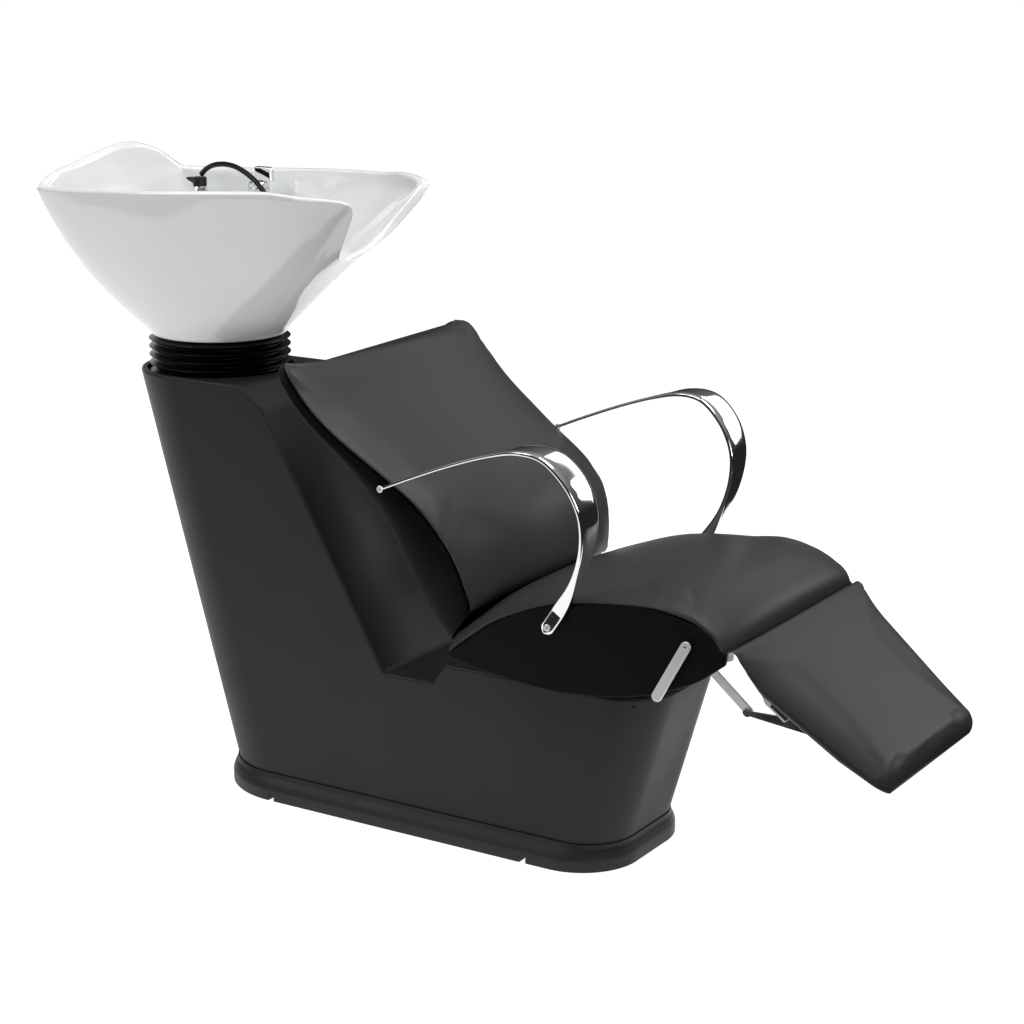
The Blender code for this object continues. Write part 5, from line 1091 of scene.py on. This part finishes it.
def build_stage():
    """The photo's camera, a pale floor, soft boxes, and a sky that darkens to its horizon."""
    scene = bpy.context.scene
    lens = bpy.data.cameras.new("photo_camera")
    lens.lens = CAMERA_LENS
    lens.sensor_width = CAMERA_SENSOR
    camera = bpy.data.objects.new("photo_camera", lens)
    camera.location = CAMERA_AT
    camera.rotation_euler = [math.radians(angle) for angle in CAMERA_TURN]
    scene.collection.objects.link(camera)
    scene.camera = camera

    along = np.array([math.cos(math.radians(CAMERA_TURN[2])), math.sin(math.radians(CAMERA_TURN[2])), 0.0])
    away = np.array([-along[1], along[0], 0.0])
    near = np.array(FLOOR_NEAR)
    mesh = bpy.data.meshes.new("studio_floor")
    left = near - FLOOR_REACH * along
    right = near + FLOOR_RIGHT * along
    back = right + 2.0 * FLOOR_REACH * np.array(FLOOR_SIDE)
    mesh.from_pydata([left, right, back, left + 2.0 * FLOOR_REACH * away], [], [(0, 1, 2, 3)])
    floor = bpy.data.objects.new("studio_floor", mesh)
    scene.collection.objects.link(floor)
    _, shader, _ = start_finish("floor", "pale_studio_floor", Roughness=0.7, Specular_IOR_Level=0.1)
    shader.inputs["Base Color"].default_value = (0.30, 0.30, 0.30, 1.0)
    shader.inputs["Emission Color"].default_value = (1.0, 1.0, 1.0, 1.0)
    shader.inputs["Emission Strength"].default_value = 0.97
    mesh.materials.append(FINISH["floor"])

    world = bpy.data.worlds.new("studio")
    scene.world = world
    world.use_nodes = True
    tree = world.node_tree
    sky = tree.nodes["Background"]
    way = add_node(tree, "SeparateXYZ", {"Vector": add_node(tree, "TexCoord").outputs["Generated"]})
    ramp = add_node(tree, "ValToRGB", {"Fac": way.outputs["Z"]})
    ramp.color_ramp.elements[0].position = 0.0
    ramp.color_ramp.elements[0].color = (0.02, 0.02, 0.021, 1.0)
    ramp.color_ramp.elements[1].position = 1.0
    ramp.color_ramp.elements[1].color = (0.50, 0.50, 0.50, 1.0)
    middle = ramp.color_ramp.elements.new(0.40)
    middle.color = (0.13, 0.13, 0.132, 1.0)
    tree.links.new(ramp.outputs["Color"], sky.inputs["Color"])
    white = add_node(tree, "Background", {"Color": (1.0, 1.0, 1.0, 1.0), "Strength": 1.0})
    seen = add_node(tree, "MixShader", {0: add_node(tree, "LightPath").outputs["Is Camera Ray"],
                                        1: sky.outputs["Background"], 2: white.outputs["Background"]})
    tree.links.new(seen.outputs["Shader"], tree.nodes["World Output"].inputs["Surface"])

    for box in SOFT_BOXES:
        add_light(*box)
    scene.view_settings.view_transform = "Standard"


# Operators, panel and registration

def build_finishes(colours):
    """Every record slot gets its finish, and each CAD node that stays in view takes its slot's finish."""
    moulded_plastic("base_plastic", "charcoal_moulded_abs", tuple(colours.base), 0.50, 0.0016)
    moulded_plastic("plinth_plastic", "charcoal_plinth_abs", tuple(colours.plinth), 0.48, 0.0016)
    moulded_plastic("black_plastic", "black_acetal", to_linear("#141415"), 0.34, 0.0010)
    moulded_plastic("pipe_plastic", "grey_waste_pipe_polypropylene", to_linear("#8d9092"), 0.42, 0.0012)
    moulded_plastic("painted_steel", "black_powder_coated_steel", to_linear("#202122"), 0.46, 0.0009)
    stretched_vinyl("grey_vinyl", "grey_upholstery_vinyl", tuple(colours.grey_vinyl), 0.40, 0.0022, 0.20)
    stretched_vinyl("black_vinyl", "black_upholstery_vinyl", tuple(colours.black_vinyl), 0.50, 0.0022, 0.10)
    glazed_ceramic(tuple(colours.glaze))
    moulded_rubber("black_rubber", "black_moulded_rubber", tuple(colours.rubber), 0.30)
    plated_metal("chrome", "bright_chrome_plate", tuple(colours.chrome), 0.05, 0.06)
    # Metallic 0.55 leaves a near-white diffuse part that looks bright under any lamp: painted reflection,
    # standing in for the bright reflections of the lever and links.
    plated_metal("zinc_steel", "zinc_steel_with_painted_reflection", to_linear("#e8e9ea"), 0.36, 0.12, 0.55)
    birch_plywood()
    for entry in frame["record"]["subparts"]:
        node = frame["nodes"][entry["node"]]
        node.data.materials.clear()
        node.data.materials.append(FINISH[entry["material_slot"]])


class BACKWASH_OT_stage(bpy.types.Operator):
    """Set the camera, floor, sky and soft boxes"""

    bl_idname = "backwash.stage"
    bl_label = "Stage"

    def execute(self, context):
        build_stage()
        return {"FINISHED"}


class BACKWASH_OT_finishes(bpy.types.Operator):
    """Make the finishes and give each CAD node its own"""

    bl_idname = "backwash.finishes"
    bl_label = "Finishes"

    def execute(self, context):
        build_finishes(context.scene.backwash_colours)
        return {"FINISHED"}


class BACKWASH_OT_hose(bpy.types.Operator):
    """Lay the hand spray's hose"""

    bl_idname = "backwash.hose"
    bl_label = "Hose"

    def execute(self, context):
        build_hose()
        return {"FINISHED"}


class BACKWASH_OT_bowl(bpy.types.Operator):
    """Model the glazed bowl with its tap deck"""

    bl_idname = "backwash.bowl"
    bl_label = "Bowl"

    def execute(self, context):
        build_bowl(context.scene.backwash_sizes)
        return {"FINISHED"}


class BACKWASH_OT_base(bpy.types.Operator):
    """Model the moulded base and its plinth"""

    bl_idname = "backwash.base"
    bl_label = "Base"

    def execute(self, context):
        build_base(context.scene.backwash_sizes)
        return {"FINISHED"}


class BACKWASH_OT_bellows(bpy.types.Operator):
    """Model the ribbed sleeve under the bowl"""

    bl_idname = "backwash.bellows"
    bl_label = "Bellows"

    def execute(self, context):
        build_bellows(context.scene.backwash_sizes)
        return {"FINISHED"}


class BACKWASH_OT_taps(bpy.types.Operator):
    """Model the mixer, the hand spray and the gland"""

    bl_idname = "backwash.taps"
    bl_label = "Taps"

    def execute(self, context):
        build_taps()
        return {"FINISHED"}


class BACKWASH_OT_upholstery(bpy.types.Operator):
    """Stuff the seat, back and legrest, and trim their black sides"""

    bl_idname = "backwash.upholstery"
    bl_label = "Upholstery"

    def execute(self, context):
        sizes = context.scene.backwash_sizes
        build_seat(sizes)
        build_back(sizes)
        build_legrest(sizes)
        return {"FINISHED"}


class BACKWASH_OT_metal(bpy.types.Operator):
    """Model the armrests, their screws, the links and the release lever"""

    bl_idname = "backwash.metal"
    bl_label = "Metalwork"

    def execute(self, context):
        build_armrests()
        build_linkage()
        return {"FINISHED"}


class BACKWASH_PT_panel(bpy.types.Panel):
    """Sizes, colours and operators of the backwash unit"""

    bl_idname = "BACKWASH_PT_panel"
    bl_label = "Backwash unit"
    bl_space_type = "VIEW_3D"
    bl_region_type = "UI"
    bl_category = "Backwash"

    def draw(self, context):
        for group in (context.scene.backwash_sizes, context.scene.backwash_colours):
            for key in group.__annotations__:
                self.layout.prop(group, key)
        for step in STEPS:
            self.layout.operator(step.bl_idname)


STEPS = (BACKWASH_OT_stage, BACKWASH_OT_finishes, BACKWASH_OT_taps, BACKWASH_OT_hose, BACKWASH_OT_bowl,
         BACKWASH_OT_base, BACKWASH_OT_bellows, BACKWASH_OT_upholstery, BACKWASH_OT_metal)
CLASSES = (BackwashSizes, BackwashColours, *STEPS, BACKWASH_PT_panel)


def register():
    """Register the classes and hang the settings on the scene."""
    for kind in CLASSES:
        bpy.utils.register_class(kind)
    bpy.types.Scene.backwash_sizes = PointerProperty(type=BackwashSizes)
    bpy.types.Scene.backwash_colours = PointerProperty(type=BackwashColours)


def unregister():
    """Take the settings and classes away again."""
    del bpy.types.Scene.backwash_colours
    del bpy.types.Scene.backwash_sizes
    for kind in reversed(CLASSES):
        bpy.utils.unregister_class(kind)


def main():
    register()
    bpy.ops.backwash.stage()
    bpy.ops.backwash.finishes()
    bpy.ops.backwash.taps()
    bpy.ops.backwash.hose()
    bpy.ops.backwash.bowl()
    bpy.ops.backwash.base()
    bpy.ops.backwash.bellows()
    bpy.ops.backwash.upholstery()
    bpy.ops.backwash.metal()


if __name__ == "__main__":
    main()
